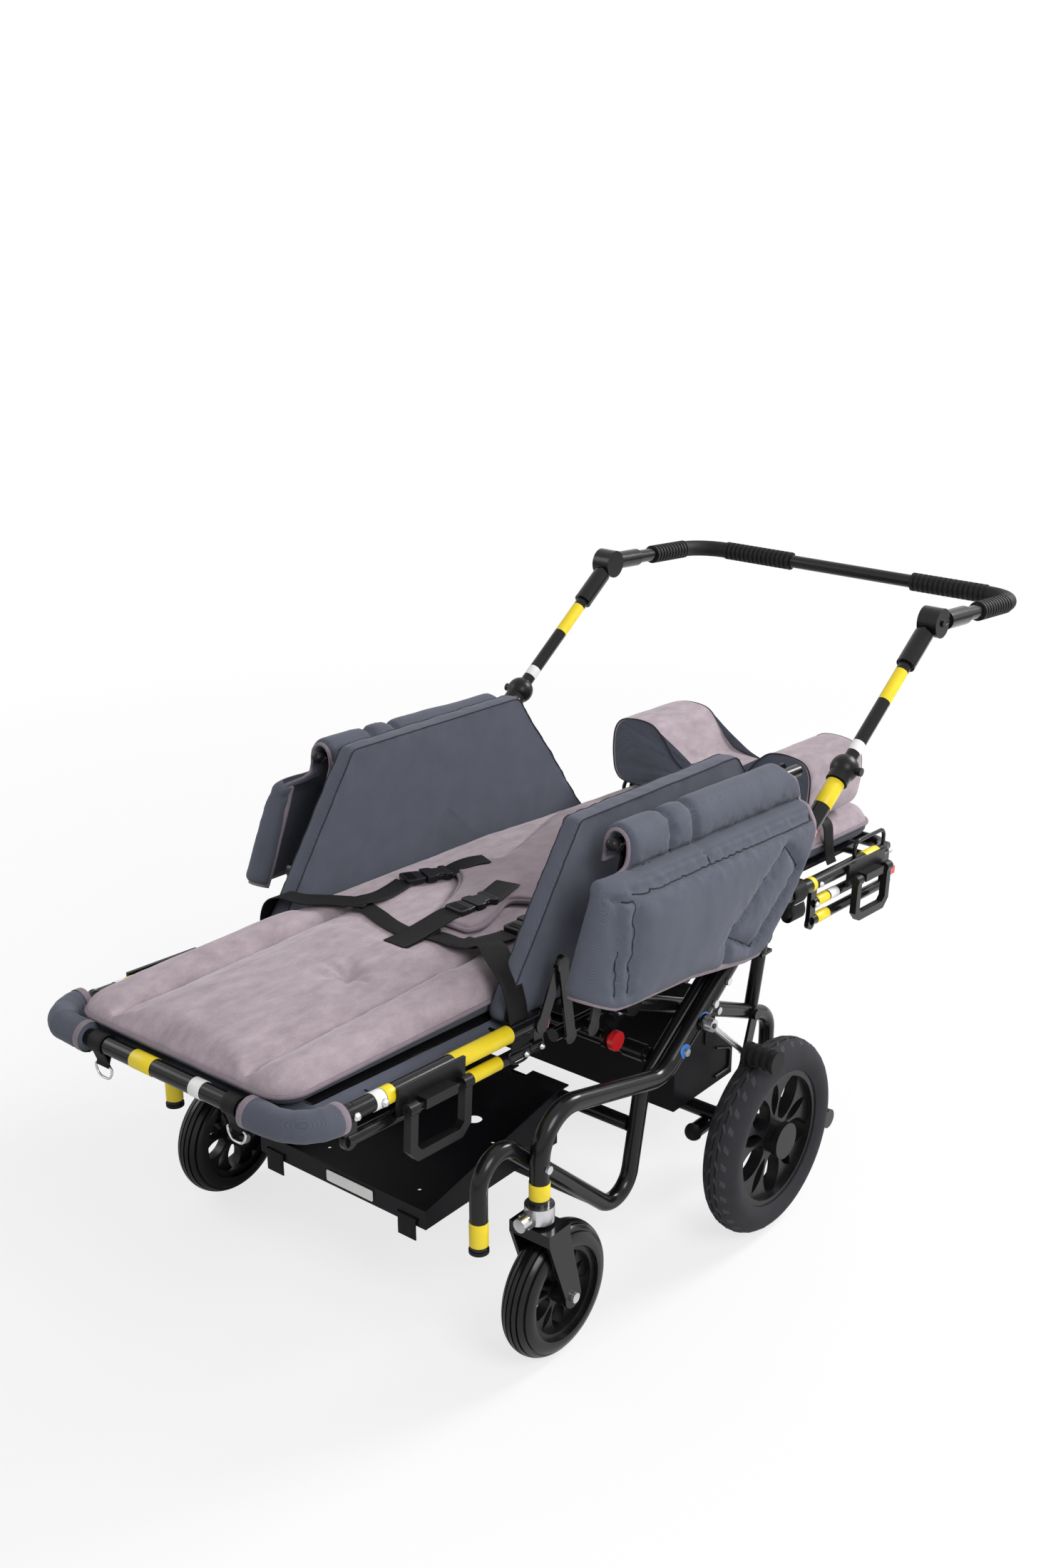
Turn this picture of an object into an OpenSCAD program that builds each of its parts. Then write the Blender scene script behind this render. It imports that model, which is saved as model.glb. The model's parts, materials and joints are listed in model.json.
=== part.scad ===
// Special needs buggy: a lying seat unit on a wheeled tube frame.
// Millimetres, +Z up, -Y front (foot end), +X the user's left, ground at Z = 0.

/* [Wheels] */
// Rear wheel diameter over the tyre
rear_wheel_d = 312; // [280:1:340]
// Rear tyre width
rear_tyre_w = 57; // [46:1:60]
// Rear wheel middle plane from the centre plane
rear_wheel_x = 393; // [388:1:410]
// Rear axle position along the frame
rear_axle_y = 235; // [228:1:242]
// Rear rim radius at the bead
rear_rim_r = 109; // [100:1:114]
// Caster wheel diameter
caster_d = 200; // [180:1:210]
// Caster wheel width
caster_w = 50; // [40:1:52]
// Caster rim radius at the bead
caster_rim_r = 70; // [60:1:76]
// Distance of the caster axle behind its swivel axis
caster_trail = 32; // [20:1:40]
// Fork blade thickness
fork_t = 6; // [4:0.5:8]
// Gap between the fork blade and the caster tyre
fork_gap = 4; // [2:0.5:8]
// Gap between the fork crown and the caster tyre
crown_gap = 5; // [3:0.5:9]
// Fork crown height
crown_h = 18; // [14:0.5:22]
// Fork crown reach before the swivel axis
crown_front = 22; // [18:0.5:26]
// Fork crown reach behind the swivel axis
crown_rear = 24; // [20:0.5:28]
// Swivel stem length above the crown
stem_l = 48; // [40:1:56]
// Diameter of the fork boss round the caster bolt
boss_d = 34; // [28:0.5:38]
// Swivel stem diameter
stem_d = 12; // [10:0.5:14]
// Caster axle bolt diameter
bolt_d = 8; // [6:0.5:10]
// Rear axle stub diameter
stub_d = 12; // [10:0.5:15]
// Number of spoke pairs in a wheel
spokes = 5; // [4:1:6]
// Rim ring thickness
ring_t = 9; // [6:0.5:12]
// Number of grooves in a caster tyre
caster_grooves = 6; // [3:1:7]
// Number of grooves in a rear tyre
rear_grooves = 2; // [1:1:4]
// Tyre groove width
groove_w = 2.4; // [1.5:0.1:3]
// Tyre groove depth
groove_cut = 2.6; // [1.5:0.1:4]
// Rear hub diameter
rear_hub_d = 50; // [44:1:56]
// Rear hub cap diameter
cap_d = 58; // [52:1:64]
// Caster hub diameter
caster_hub_d = 34; // [28:1:38]

/* [Fits] */
// Radial clearance of a running fit
run_gap = 0.05; // [0.02:0.01:0.1]
// Clearance of a seated piece
seat_gap = 0.3; // [0.2:0.05:0.5]

/* [Main frame] */
// Main tube diameter
tube_d = 28; // [26:0.5:30]
// Main tube plane from the centre plane
frame_x = 330; // [329:0.5:333]
// Swivel axis position of the casters
post_y = -250; // [-256:1:-244]
// Height of the front corner of the main tube
corner_z = 394; // [384:1:402]
// Position of the lower bend of the main tube
dip_y = 33; // [26:1:40]
// Height of the lower bend of the main tube
dip_z = 321; // [314:1:326]
// Angle of the rising main tube
rise_deg = 34.85; // [34:0.05:36]
// Position of the telescope clamp ball
ball_y = 521; // [505:1:535]
// Telescope clamp ball diameter
ball_d = 46; // [40:1:50]
// Bend radius of the main tube
main_bend_r = 60; // [50:1:75]
// Inner loop tube diameter
loop_d = 25; // [22:0.5:26]
// Top end of the inner loop
loop_top_y = 192; // [170:1:200]
// Drop of the loop below the main tube where both run together
loop_drop = 9; // [7:0.5:12]
// Position of the loop's middle corner
loop_mid_y = 24; // [20:1:30]
// Position of the loop's lower corner
loop_low_y = -17; // [-24:1:-10]
// Height of the loop's lower corner
loop_low_z = 105; // [98:1:112]
// Position of the step foot in front
step_y = -345; // [-352:1:-338]
// Height of the corner above the step foot
step_top_z = 398; // [388:1:404]
// Lower end of the step foot
step_low_z = 220; // [214:1:230]
// Bend radius of the loop tube
loop_bend_r = 42; // [38:1:46]
// Cross tube diameter
cross_d = 22; // [18:0.5:24]
// Clamp collar height on the front post
collar_h = 24; // [20:1:28]
// Clamp knob diameter on the front post
knob_d = 20; // [16:0.5:24]
// Bolt head diameter on the frame
head_d = 12; // [10:0.5:14]

/* [Rear frame] */
// Rear leg tube diameter
leg_tube_d = 25; // [22:0.5:27]
// Upper rear corner of the leg
leg_back_y = 411; // [405:1:418]
// Height of the upper rear corner
leg_back_z = 257; // [250:1:264]
// Height of the leg's lower arm
arm_z = 131; // [129:0.5:131.2]
// Front end of the lower arm
arm_front_y = 205; // [190:1:212]
// Bend radius of the leg
leg_bend_r = 42; // [36:1:46]
// Axle beam diameter
beam_d = 24; // [20:0.5:25]
// Prop post diameter
prop_d = 22; // [18:0.5:24]
// Length of the saddle on a prop post
saddle_l = 30; // [24:1:36]
// Thickness of the saddle on a prop post
saddle_t = 5; // [4:0.5:6]
// Link plate width
plate_w = 24; // [20:0.5:28]
// Link plate thickness
plate_t = 5; // [4:0.5:6]
// Tip pedal disc diameter
pedal_d = 32; // [26:1:36]
// Tip pedal height above the ground
pedal_z = 106; // [98:1:114]
// Brake hinge position along the frame
brake_y = 118; // [114:1:122]
// Brake roller diameter
roller_d = 36; // [32:1:40]
// Brake rod diameter
rod_d = 9; // [8:0.5:10]

/* [Tray and box] */
// Tray half width
tray_x = 166; // [150:1:176]
// Tray front edge
tray_front_y = -299; // [-306:1:-285]
// Tray sheet thickness
sheet_t = 2.5; // [1.5:0.5:3]
// Tray front lip height
lip_h = 30; // [20:1:40]
// Box half width
box_x = 255; // [230:1:258]
// Box front face
box_front_y = 180; // [172:1:190]
// Box depth at the bottom
box_depth = 165; // [150:1:170]
// Box height to the top
box_h = 165; // [140:1:175]
// Height of the box's upright front
box_front_h = 92; // [80:1:100]
// Depth of the step behind the box
box_step = 55; // [45:1:65]
// Run of the slope above the box's front
box_slope = 46; // [36:1:56]
// Fixing hole diameter in the tray
mount_d = 6.6; // [5.5:0.1:8.4]
// Cable hole diameter in the tray
cable_d = 26; // [20:1:32]
// Wire diameter of the box bail
bail_d = 4; // [3:0.5:5]

/* [Bed] */
// Slope of the bed, head end lower
bed_deg = 3.4; // [2:0.1:4]
// Height of the rail plane over the origin of the working frame
bed_z = 451; // [447:1:456]
// Bed rail plane from the centre plane
rail_x = 245; // [244:0.5:245.5]
// Upper bed rail diameter
rail_d = 24; // [22:0.5:25]
// Lower bed rail diameter
low_rail_d = 20; // [18:0.5:22]
// Distance of the lower rail below the upper rail
rail_drop = 36; // [34:0.5:38]
// Foot bar position on the bed
foot_v = -600; // [-615:1:-585]
// Leg section hinge position on the bed
knee_v = -122; // [-126:1:-118]
// Back section hinge position on the bed
hip_v = 220; // [216:1:226]
// Head bar position on the bed
head_v = 866; // [850:1:880]
// Height of the leg and back hinges over the rails
hinge_w = 80; // [76:0.5:84]
// Tilt pivot position on the bed
tilt_v = 20; // [16:1:24]
// Tilt pivot height from the rails
tilt_w = -18; // [-20:0.5:-16]
// Carry grip depth below its hinge
grip_h = 68; // [60:1:74]
// Carry grip length along the rail
grip_l = 104; // [90:1:116]
// Carry grip bar diameter
grip_d = 14; // [12:0.5:15]
// Leg carry grip centre behind the foot bar
leg_grip_in = 215; // [200:1:230]
// Back carry grip centre before the head bar
back_grip_in = 114; // [100:1:126]
// Carry grip frame thickness
grip_t = 12; // [10:0.5:13]
// Height of the carry grip hinge from the rails
pin_w = -16; // [-18:0.5:-14]
// Hinge pin diameter of the bed sections
pin_d = 10; // [8:0.5:11]
// Bed board thickness
board_t = 8; // [6:0.5:9]
// Hinge ear thickness
ear_t = 4; // [3:0.5:5]
// Lock knob diameter
lock_d = 30; // [26:1:34]

/* [Upholstery] */
// Half width of the lying pads
pad_x = 200; // [190:1:201]
// Pad top at the foot end over the rails
foot_top = 44; // [38:1:50]
// Pad top at the knees over the rails
knee_top = 70; // [62:1:74]
// Pad top under the body over the rails
body_top = 79; // [74:1:79]
// Seam channel position from the centre plane
seam_x = 128; // [110:1:140]
// Seam channel depth
seam_cut = 7; // [4:0.5:9]
// Side cushion inner face
cush_in = 203; // [202:0.5:206]
// Side cushion thickness
cush_t = 28; // [22:1:28]
// Side cushion lower front corner on the bed
cush_foot_v = -215; // [-225:1:-205]
// Side cushion lower rear corner on the bed
cush_tail_v = 572; // [560:1:584]
// Side cushion upper front corner on the bed
cush_front_v = -52; // [-62:1:-42]
// Side cushion upper rear corner on the bed
cush_rear_v = 347; // [335:1:359]
// Side cushion height over the arm bar
cush_rise = 27; // [20:1:34]
// Arm bar plane from the centre plane
arm_x = 284; // [282:0.5:286]
// Arm bar height over the rails
arm_w = 241; // [235:1:248]
// Arm bar diameter
arm_d = 20; // [18:0.5:21]
// Side panel thickness
panel_t = 12; // [9:0.5:13]
// Side panel roll front end on the bed
roll_front_v = -39; // [-48:1:-30]
// Side panel roll rear end on the bed
roll_rear_v = 378; // [368:1:388]
// Side panel rear tip on the bed
panel_rear_v = 418; // [408:1:426]
// Side panel front flap at its top on the bed
flap_top_v = -112; // [-120:1:-104]
// Side panel front flap at the hem on the bed
flap_low_v = -164; // [-172:1:-156]
// Side panel rear end of the hem on the bed
hem_rear_v = 206; // [196:1:216]
// Side panel hem height at the front over the rails
hem_front_w = 40; // [34:1:48]
// Side panel hem height at the rear over the rails
hem_rear_w = 8; // [4:1:14]
// Inward curl of the side panel's front flap
flap_curl = 42; // [30:1:46]
// Arm bar front end on the bed
arm_front_v = -8; // [-14:1:-2]
// Arm bar rear end on the bed
arm_rear_v = 440; // [430:1:450]
// Harness pad thickness
harness_t = 15; // [12:0.5:18]
// Harness pad tip on the bed
harness_tip_v = -117; // [-119:0.5:-110]
// Harness chest end on the bed
harness_end_v = 476; // [464:1:488]
// Headrest front end on the bed
head_front_v = 628; // [620:1:636]
// Headrest length along the bed
head_l = 178; // [165:1:190]
// Headrest hollow height over the pad
head_hollow = 44; // [36:1:52]
// Headrest half width
head_x = 205; // [190:1:210]
// Headrest wing height over the pad
head_h = 122; // [110:1:130]

/* [Push handle] */
// Telescope tube diameter
slide_d = 22; // [20:0.5:23]
// Angle joint position
joint_y = 785; // [775:1:800]
// Angle joint disc diameter
joint_d = 50; // [44:1:54]
// Push bar plane from the centre plane
bar_x = 340; // [339:0.5:342]
// Push bar diameter
bar_d = 24; // [22:0.5:26]
// Push bar length from the angle joint
bar_l = 322; // [300:1:340]
// Slope of the push bar, rear end lower
bar_deg = 4.5; // [2:0.1:6]
// Push bar corner radius
bar_bend_r = 62; // [55:1:70]
// Push bar sleeve diameter
sleeve_d = 34; // [32:0.5:36]
// Push bar sleeve length along the arm
sleeve_arm_l = 170; // [150:1:180]
// Push bar sleeve length along the cross bar
sleeve_bar_l = 210; // [190:1:230]
// Angle joint housing diameter
housing_d = 32; // [28:0.5:34]
// Angle joint housing length
housing_l = 70; // [55:1:80]

/* [Hidden] */
$fn = 32;
side = [1, -1];
bend_swell = 0.2;
bend_lap = 0.8;
waist_share = 0.8;
rise = tan(rise_deg);
along = [cos(rise_deg), sin(rise_deg)];
rear_r = rear_wheel_d / 2;
caster_r = caster_d / 2;
thrust_gap = 1;
crown_z = caster_d + crown_gap;
post_low_z = crown_z + crown_h + thrust_gap;
ball_z = dip_z + (ball_y - dip_y) * rise;
joint_z = dip_z + (joint_y - dip_y) * rise;
post_p = [post_y, post_low_z];
corner_p = [post_y, corner_z];
dip_p = [dip_y, dip_z];
ball_p = [ball_y, ball_z];
main_path = [post_p, corner_p, dip_p, ball_p];
main_bend = [0, main_bend_r, main_bend_r, 0];
loop_mid_z = dip_z + (loop_mid_y - dip_y) * rise - loop_drop;
loop_top_z = dip_z + (loop_top_y - dip_y) * rise - loop_drop;
loop_path = [[loop_top_y, loop_top_z], [loop_mid_y, loop_mid_z], [loop_low_y, loop_low_z],
  [step_y, step_top_z], [step_y, step_low_z]];
loop_bend = [0, loop_bend_r, loop_bend_r, loop_bend_r, 0];
loop_x = frame_x - (tube_d + loop_d) / 2 - seat_gap;
leg_x = loop_x - (loop_d + leg_tube_d) / 2 - seat_gap;
caster_y = post_y + caster_trail;
bed_s = sin(bed_deg);
bed_c = cos(bed_deg);
pivot_y = tilt_v * bed_c + tilt_w * bed_s;
pivot_z = bed_z - tilt_v * bed_s + tilt_w * bed_c;
leg_path = [[pivot_y, pivot_z], [leg_back_y, leg_back_z], [leg_back_y, arm_z], [arm_front_y, arm_z]];
leg_bend = [0, leg_bend_r, leg_bend_r, 0];
foot_sleeve_d = rail_d + 18;
front_y = foot_v * bed_c - foot_sleeve_d / 2;
back_y = joint_y + bar_l * cos(bar_deg) + sleeve_d / 2;
mid_y = (front_y + back_y) / 2;
leg_grip_v = foot_v + leg_grip_in;
back_grip_v = head_v - back_grip_in;
cross_front = loop_path[2] + unit(loop_path[3] - loop_path[2]) * trim(loop_path, loop_bend, 2);
cross_rear = mix(loop_path[1], loop_path[2], 0.33);
cross_high = mix(loop_path[0], loop_path[1], 0.78);
tray_floor_z = cross_front.y + cross_d / 2 + seat_gap;
tray_rear_y = cross_rear.x - cross_d / 2 - seat_gap - sheet_t;
box_low_z = rear_r + beam_d / 2 + seat_gap;
box_rear_y = box_front_y + box_depth;
pin_in = rail_x + low_rail_d / 2 + 0.5;
brake_z = dip_z + (brake_y - dip_y) * rise;
brake_in = frame_x + tube_d / 2 + seat_gap;
brake_plate = 5;
roller_dir = unit([-59, 163]);
roller_p = [rear_axle_y, rear_r] + roller_dir * (rear_r + roller_d / 2 + 0.5);
roller_in = 8;
roller_l = 54;
roller_bore_l = 48;
board_x = rail_x - rail_d / 2 - seat_gap;
board_low = -2;
pad_low = board_low + board_t + seat_gap;
swing_x = pad_x + 1;
ear_in = rail_x + rail_d / 2 + seat_gap;
ear_out = ear_in + ear_t + seat_gap;
lock_v = tilt_v - 16;
lock_w = tilt_w - 58;
grip_pin_d = pin_d - 4;
grip_pin_x = ear_in + 16;
leg_corner_r = 56;
head_corner_r = 40;
joint_face = bar_x - bar_d / 2 + 6;
hinge_gap = 3;
hinge_clear = 12;
recline_deg = 75;
fold_gap = harness_t * tan(recline_deg / 2) + 1.5;
weld = 1;
rise_bolts = [50, 122, 156];
post_bolt = 86;
head_pad_out = 22;
back_fall = 6;
brace_w = -7;
brace_d = 12;
brace_t = 8;
swing_lean = 34;
sleeve_in = 92;
sleeve_back = 62;
panel_seam = 38;
panel_ridge = 32;
panel_bow = 90;
vest_far = [[-117, 28], [-47, -4], [20, -40], [60, -88], [100, -90], [124, -56], [211, -73], [376, -130],
  [476, -104]];
vest_near = [[-117, 92], [-86, 94], [0, 62], [25, 75], [60, 118], [100, 120], [124, 85], [211, 100],
  [376, 152], [476, 128]];
wing = [[0, 0], [0.24, 0.08], [0.44, 0.6], [0.62, 0.97], [0.72, 1], [0.82, 0.93], [0.96, 0.5], [1, -0.2]];

function unit(v) = v / norm(v);
function heading(v) = atan2(v.y, v.x);
function half_turn(a) = a > 180 ? a - 360 : a < -180 ? a + 360 : a;
function turn(p, i) = half_turn(heading(p[i + 1] - p[i]) - heading(p[i] - p[i - 1]));
function trim(p, r, i) = i == 0 || i == len(p) - 1 ? 0 : r[i] * tan(abs(turn(p, i)) / 2);
function ease(i, n) = (1 - cos(180 * i / n)) / 2;
function mix(a, b, t) = a + (b - a) * t;
function patch(c, s, t) = mix(mix(c[0], c[1], s), mix(c[3], c[2], s), t);
function rail_under(y) = bed_z - y * tan(bed_deg) - (rail_drop + low_rail_d / 2) / bed_c
  - saddle_l / 2 * tan(bed_deg);
function channel(x) = seam_cut * (exp(-pow((x - seam_x) / 9, 2)) + exp(-pow((x + seam_x) / 9, 2)));

// Height of the seat pad or back pad over the rails.
function pad_top(v) = v < hip_v ? mix(knee_top, body_top, (v - knee_v) / (hip_v - knee_v))
  : mix(body_top, body_top - back_fall, (v - hip_v) / (head_v + head_pad_out - hip_v));
function crown(s, t) = pow((1 - pow(2 * s - 1, 4)) * (1 - pow(2 * t - 1, 4)), 0.4);

// Everything stands in the frame whose origin is under the middle of the buggy.
module placed() translate([0, -mid_y, 0]) children();

// The bed's own space: x across, y along the bed, z square to it.
module bed() placed() translate([0, 0, bed_z]) rotate([-bed_deg, 0, 0]) children();

// A drawing in the plane x along the frame, y up, at a distance from the centre plane.
module upright(x) translate([x, 0, 0]) rotate([90, 0, 90]) children();

module pair() {
  children();
  mirror([1, 0, 0]) children();
}

// One straight length of round bar between two points of a drawing plane.
module bar(a, b, d) {
  translate([a.x, a.y, 0]) rotate([0, 0, heading(b - a)]) rotate([0, 90, 0])
    cylinder(d = d, h = norm(b - a));
}

// One bend of a round bar, a hair thicker so that the straight lengths end inside it.
module bow(p, r, i, d) {
  a = turn(p, i);
  u = unit(p[i] - p[i - 1]);
  from = p[i] - u * r * tan(abs(a) / 2);
  mid = from + sign(a) * r * [-u.y, u.x];
  translate([mid.x, mid.y, 0]) rotate([0, 0, heading(from - mid) + min(0, a)])
    rotate_extrude(angle = abs(a)) translate([r, 0]) circle(d = d + bend_swell);
}

// A round bar bent along a path.
module bent(p, r, d) {
  for (i = [0 : len(p) - 2]) {
    u = unit(p[i + 1] - p[i]);
    head = i == 0 ? 0 : bend_lap;
    tail = i == len(p) - 2 ? 0 : bend_lap;
    bar(p[i] + u * (trim(p, r, i) - head), p[i + 1] - u * (trim(p, r, i + 1) - tail), d);
  }
  for (i = [1 : len(p) - 2]) bow(p, r[i], i, d);
}

// A cylinder across the frame.
module across(x0, x1, y, z, d) translate([x0, y, z]) rotate([0, 90, 0]) cylinder(d = d, h = x1 - x0);

// A cylinder along the bed.
module lengthwise(x, y0, y1, z, d) translate([x, y0, z]) rotate([-90, 0, 0]) cylinder(d = d, h = y1 - y0);

// A plate across a drawing plane with two round eyes and a slimmer waist.
module link(a, b, w, t) {
  waist = w * waist_share;
  linear_extrude(t) {
    translate(a) circle(d = w);
    translate(b) circle(d = w);
    translate(a) rotate(heading(b - a)) translate([0, -waist / 2]) square([norm(b - a), waist]);
  }
}

// A closed skin between two grids of points, upper and lower.
module skin(top, low, nu, nv) {
  n = (nu + 1) * (nv + 1);
  k = function (i, j) i * (nv + 1) + j;
  faces = [
    for (i = [0 : nu - 1], j = [0 : nv - 1]) each [
      [k(i, j), k(i + 1, j + 1), k(i + 1, j)],
      [k(i, j), k(i, j + 1), k(i + 1, j + 1)],
      [n + k(i, j), n + k(i + 1, j), n + k(i + 1, j + 1)],
      [n + k(i, j), n + k(i + 1, j + 1), n + k(i, j + 1)]],
    for (i = [0 : nu - 1]) each [
      [n + k(i, 0), k(i, 0), k(i + 1, 0)],
      [n + k(i, 0), k(i + 1, 0), n + k(i + 1, 0)],
      [n + k(i + 1, nv), k(i + 1, nv), k(i, nv)],
      [n + k(i + 1, nv), k(i, nv), n + k(i, nv)]],
    for (j = [0 : nv - 1]) each [
      [n + k(0, j + 1), k(0, j + 1), k(0, j)],
      [n + k(0, j + 1), k(0, j), n + k(0, j)],
      [n + k(nu, j), k(nu, j), k(nu, j + 1)],
      [n + k(nu, j), k(nu, j + 1), n + k(nu, j + 1)]]];
  polyhedron(concat(top, low), faces);
}

// A crowned pad on a four-sided patch; high and low give its rise and depth at a point.
module pillow(c, up, high, low, nu, nv) {
  flat = [for (i = [0 : nu], j = [0 : nv]) patch(c, ease(i, nu), ease(j, nv))];
  rim = 0.12;
  lift = [for (i = [0 : nu], j = [0 : nv]) rim + (1 - rim) * crown(ease(i, nu), ease(j, nv))];
  skin([for (i = [0 : len(flat) - 1]) flat[i] + up * high(flat[i]) * lift[i]],
    [for (i = [0 : len(flat) - 1]) flat[i] - up * low(flat[i]) * lift[i]], nu, nv);
}

// A wheel disc with spoke pairs; windows are lens shaped.
module wheel_disc(rim_r, hub_r, t) {
  span = rim_r - hub_r;
  mid_r = (rim_r + hub_r) / 2;
  step = 360 / spokes;
  lens_r = span * 0.62;
  lens_in = span * 0.5;
  linear_extrude(t, center = true) difference() {
    circle(r = rim_r);
    for (i = [0 : spokes - 1]) {
      rotate(i * step) translate([mid_r, 0]) intersection() {
        circle(r = lens_in * 0.88);
        translate([0, lens_r * 0.55]) circle(r = lens_r);
        translate([0, -lens_r * 0.55]) circle(r = lens_r);
      }
      rotate((i + 0.5) * step) translate([mid_r, 0]) intersection() {
        circle(r = lens_in * 0.8);
        translate([0, lens_r * 0.8]) circle(r = lens_r);
        translate([0, -lens_r * 0.8]) circle(r = lens_r);
      }
    }
  }
}

// A wheel without its tyre, axis along x.
module wheel_core(rim_r, width, hub_d, bore_d, hub_w, disc_t) {
  past = 1;
  rotate([0, 90, 0]) difference() {
    union() {
      wheel_disc(rim_r - ring_t / 2, hub_d / 2, disc_t);
      cylinder(d = hub_d, h = hub_w, center = true);
      difference() {
        cylinder(r = rim_r, h = width, center = true);
        cylinder(r = rim_r - ring_t, h = width + 2 * past, center = true);
      }
    }
    cylinder(d = bore_d, h = hub_w + 2 * past, center = true);
  }
}

module scale_side(s) mirror([s < 0 ? 1 : 0, 0, 0]) children();

module main_tube() {
  bore_d = slide_d + 2 * run_gap;
  bore_l = 300;
  stem_bore_l = stem_l + crown_h + 6;
  difference() {
    upright(0) bent(main_path, main_bend, tube_d);
    upright(0) bar(ball_p - along * bore_l, ball_p + along * bore_l, bore_d);
    translate([0, post_y, post_low_z - thrust_gap]) cylinder(d = stem_d + 2 * run_gap, h = stem_bore_l);
  }
}

module side_frame(s) color([0.06, 0.06, 0.065]) placed() translate([s * frame_x, 0, 0]) main_tube();

module side_frame_left() side_frame(1);

module side_frame_right() side_frame(-1);

module loop_tubes() {
  color([0.06, 0.06, 0.065]) placed() pair() upright(loop_x) bent(loop_path, loop_bend, loop_d);
}

module cross_tubes() {
  end_x = loop_x - loop_d / 2 - seat_gap;
  bush_l = 36;
  bush_in = 8;
  bush_d = cross_d + 5;
  color([0.06, 0.06, 0.065]) placed() {
    for (p = [cross_front, cross_rear, cross_high]) across(-end_x, end_x, p.x, p.y, cross_d);
    pair() across(end_x - bush_in - bush_l, end_x - bush_in, cross_high.x, cross_high.y, bush_d);
  }
}

module rear_legs() {
  eye_d = leg_tube_d + 12;
  eye_in = leg_x - leg_tube_d / 2;
  color([0.06, 0.06, 0.065]) placed() pair() {
    difference() {
      union() {
        upright(leg_x) bent(leg_path, leg_bend, leg_tube_d);
        across(eye_in, eye_in + leg_tube_d, pivot_y, pivot_z, eye_d);
      }
      across(0, leg_x * 2, rear_axle_y, rear_r, beam_d + 2 * seat_gap);
    }
    across(pin_in, eye_in + weld, pivot_y, pivot_z, stub_d);
  }
}

module axle_beam() {
  beam_x = rear_wheel_x - rear_tyre_w / 2 - 5;
  hub_out = rear_wheel_x + rear_tyre_w / 2 - 3;
  color([0.07, 0.07, 0.075]) placed() {
    across(-beam_x, beam_x, rear_axle_y, rear_r, beam_d);
    pair() across(beam_x - weld, hub_out, rear_axle_y, rear_r, stub_d);
  }
}

// Posts that stand on the rear legs and prop the lying bed.
module prop_posts() {
  foot = mix(leg_path[0], leg_path[1], 0.86);
  lean = 26;
  drop = 32;
  top = [foot.x + lean, pivot_z - drop];
  saddle_z = rail_under(top.x) - seat_gap - saddle_t;
  saddle_in = 8;
  color([0.06, 0.06, 0.065]) placed() pair() difference() {
    union() {
      upright(leg_x) bar(foot, top, prop_d);
      translate([rail_x - saddle_in, top.x - saddle_l / 2, saddle_z - weld])
        cube([leg_x - rail_x + saddle_in + prop_d / 2, saddle_l, saddle_t]);
    }
    upright(leg_x) bar(leg_path[0], leg_path[1], leg_tube_d + 2 * seat_gap);
  }
}

module link_plates() {
  upper = mix(leg_path[0], leg_path[1], 0.83);
  lower = upper + [-28, -88];
  out_x = leg_x + leg_tube_d / 2 + seat_gap;
  nut_x = out_x + plate_t - weld;
  color([0.1, 0.1, 0.11]) placed() pair() {
    upright(out_x) link(upper, lower, plate_w, plate_t);
    across(nut_x, nut_x + plate_t * 2, lower.x, lower.y, plate_w * 0.66);
    across(nut_x, nut_x + plate_t * 1.2, upper.x, upper.y, plate_w * 0.74);
  }
}

module equipment_tray() {
  flange_z = cross_rear.y + cross_d / 2 + seat_gap;
  length = tray_rear_y - tray_front_y;
  past = 1;
  through = sheet_t + 2 * past;
  flange_l = cross_d + 8;
  screw_y = [tray_front_y + 70, tray_rear_y - 60];
  slot = [40, 5];
  slot_z = tray_floor_z + 9;
  notch_w = 28;
  notch_in = 4;
  color([0.1, 0.1, 0.105]) placed() difference() {
    union() {
      translate([-tray_x, tray_front_y, tray_floor_z]) cube([2 * tray_x, length, sheet_t]);
      translate([-tray_x, tray_front_y, tray_floor_z]) cube([2 * tray_x, sheet_t, lip_h]);
      translate([-tray_x, tray_rear_y, tray_floor_z])
        cube([2 * tray_x, sheet_t, flange_z - tray_floor_z + sheet_t]);
      translate([-tray_x, tray_rear_y, flange_z]) cube([2 * tray_x, flange_l, sheet_t]);
      pair() upright(tray_x - sheet_t) linear_extrude(sheet_t)
        polygon([[tray_front_y, tray_floor_z], [tray_rear_y + sheet_t, tray_floor_z],
          [tray_rear_y + sheet_t, flange_z + sheet_t], [tray_front_y, tray_floor_z + lip_h]]);
    }
    for (x = side * tray_x * 0.55, y = screw_y)
      translate([x, y, tray_floor_z - past]) cylinder(d = mount_d, h = through);
    translate([tray_x * 0.15, tray_rear_y - cable_d, tray_floor_z - past]) cylinder(d = cable_d, h = through);
    for (x = side * tray_x * 0.8)
      translate([x - slot.x / 2, tray_front_y - past, slot_z]) cube([slot.x, through, slot.y]);
    for (x = side * tray_x * 0.5)
      translate([x - notch_w / 2, tray_rear_y + sheet_t + notch_in, flange_z - past])
        cube([notch_w, flange_l, through]);
  }
}

module equipment_box() {
  shoulder_y = box_rear_y - box_step;
  latch = [4, 34, 22];
  color([0.09, 0.09, 0.1]) placed() {
    upright(-box_x) linear_extrude(2 * box_x)
      polygon([[box_front_y, box_low_z], [box_rear_y, box_low_z], [box_rear_y, box_low_z + box_h * 0.36],
        [shoulder_y, box_low_z + box_h * 0.62], [shoulder_y, box_low_z + box_h],
        [box_front_y + box_slope, box_low_z + box_h], [box_front_y, box_low_z + box_front_h]]);
    pair() translate([box_x - weld, shoulder_y - latch.y + 4, box_low_z + box_h * 0.52]) cube(latch);
  }
}

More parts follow.
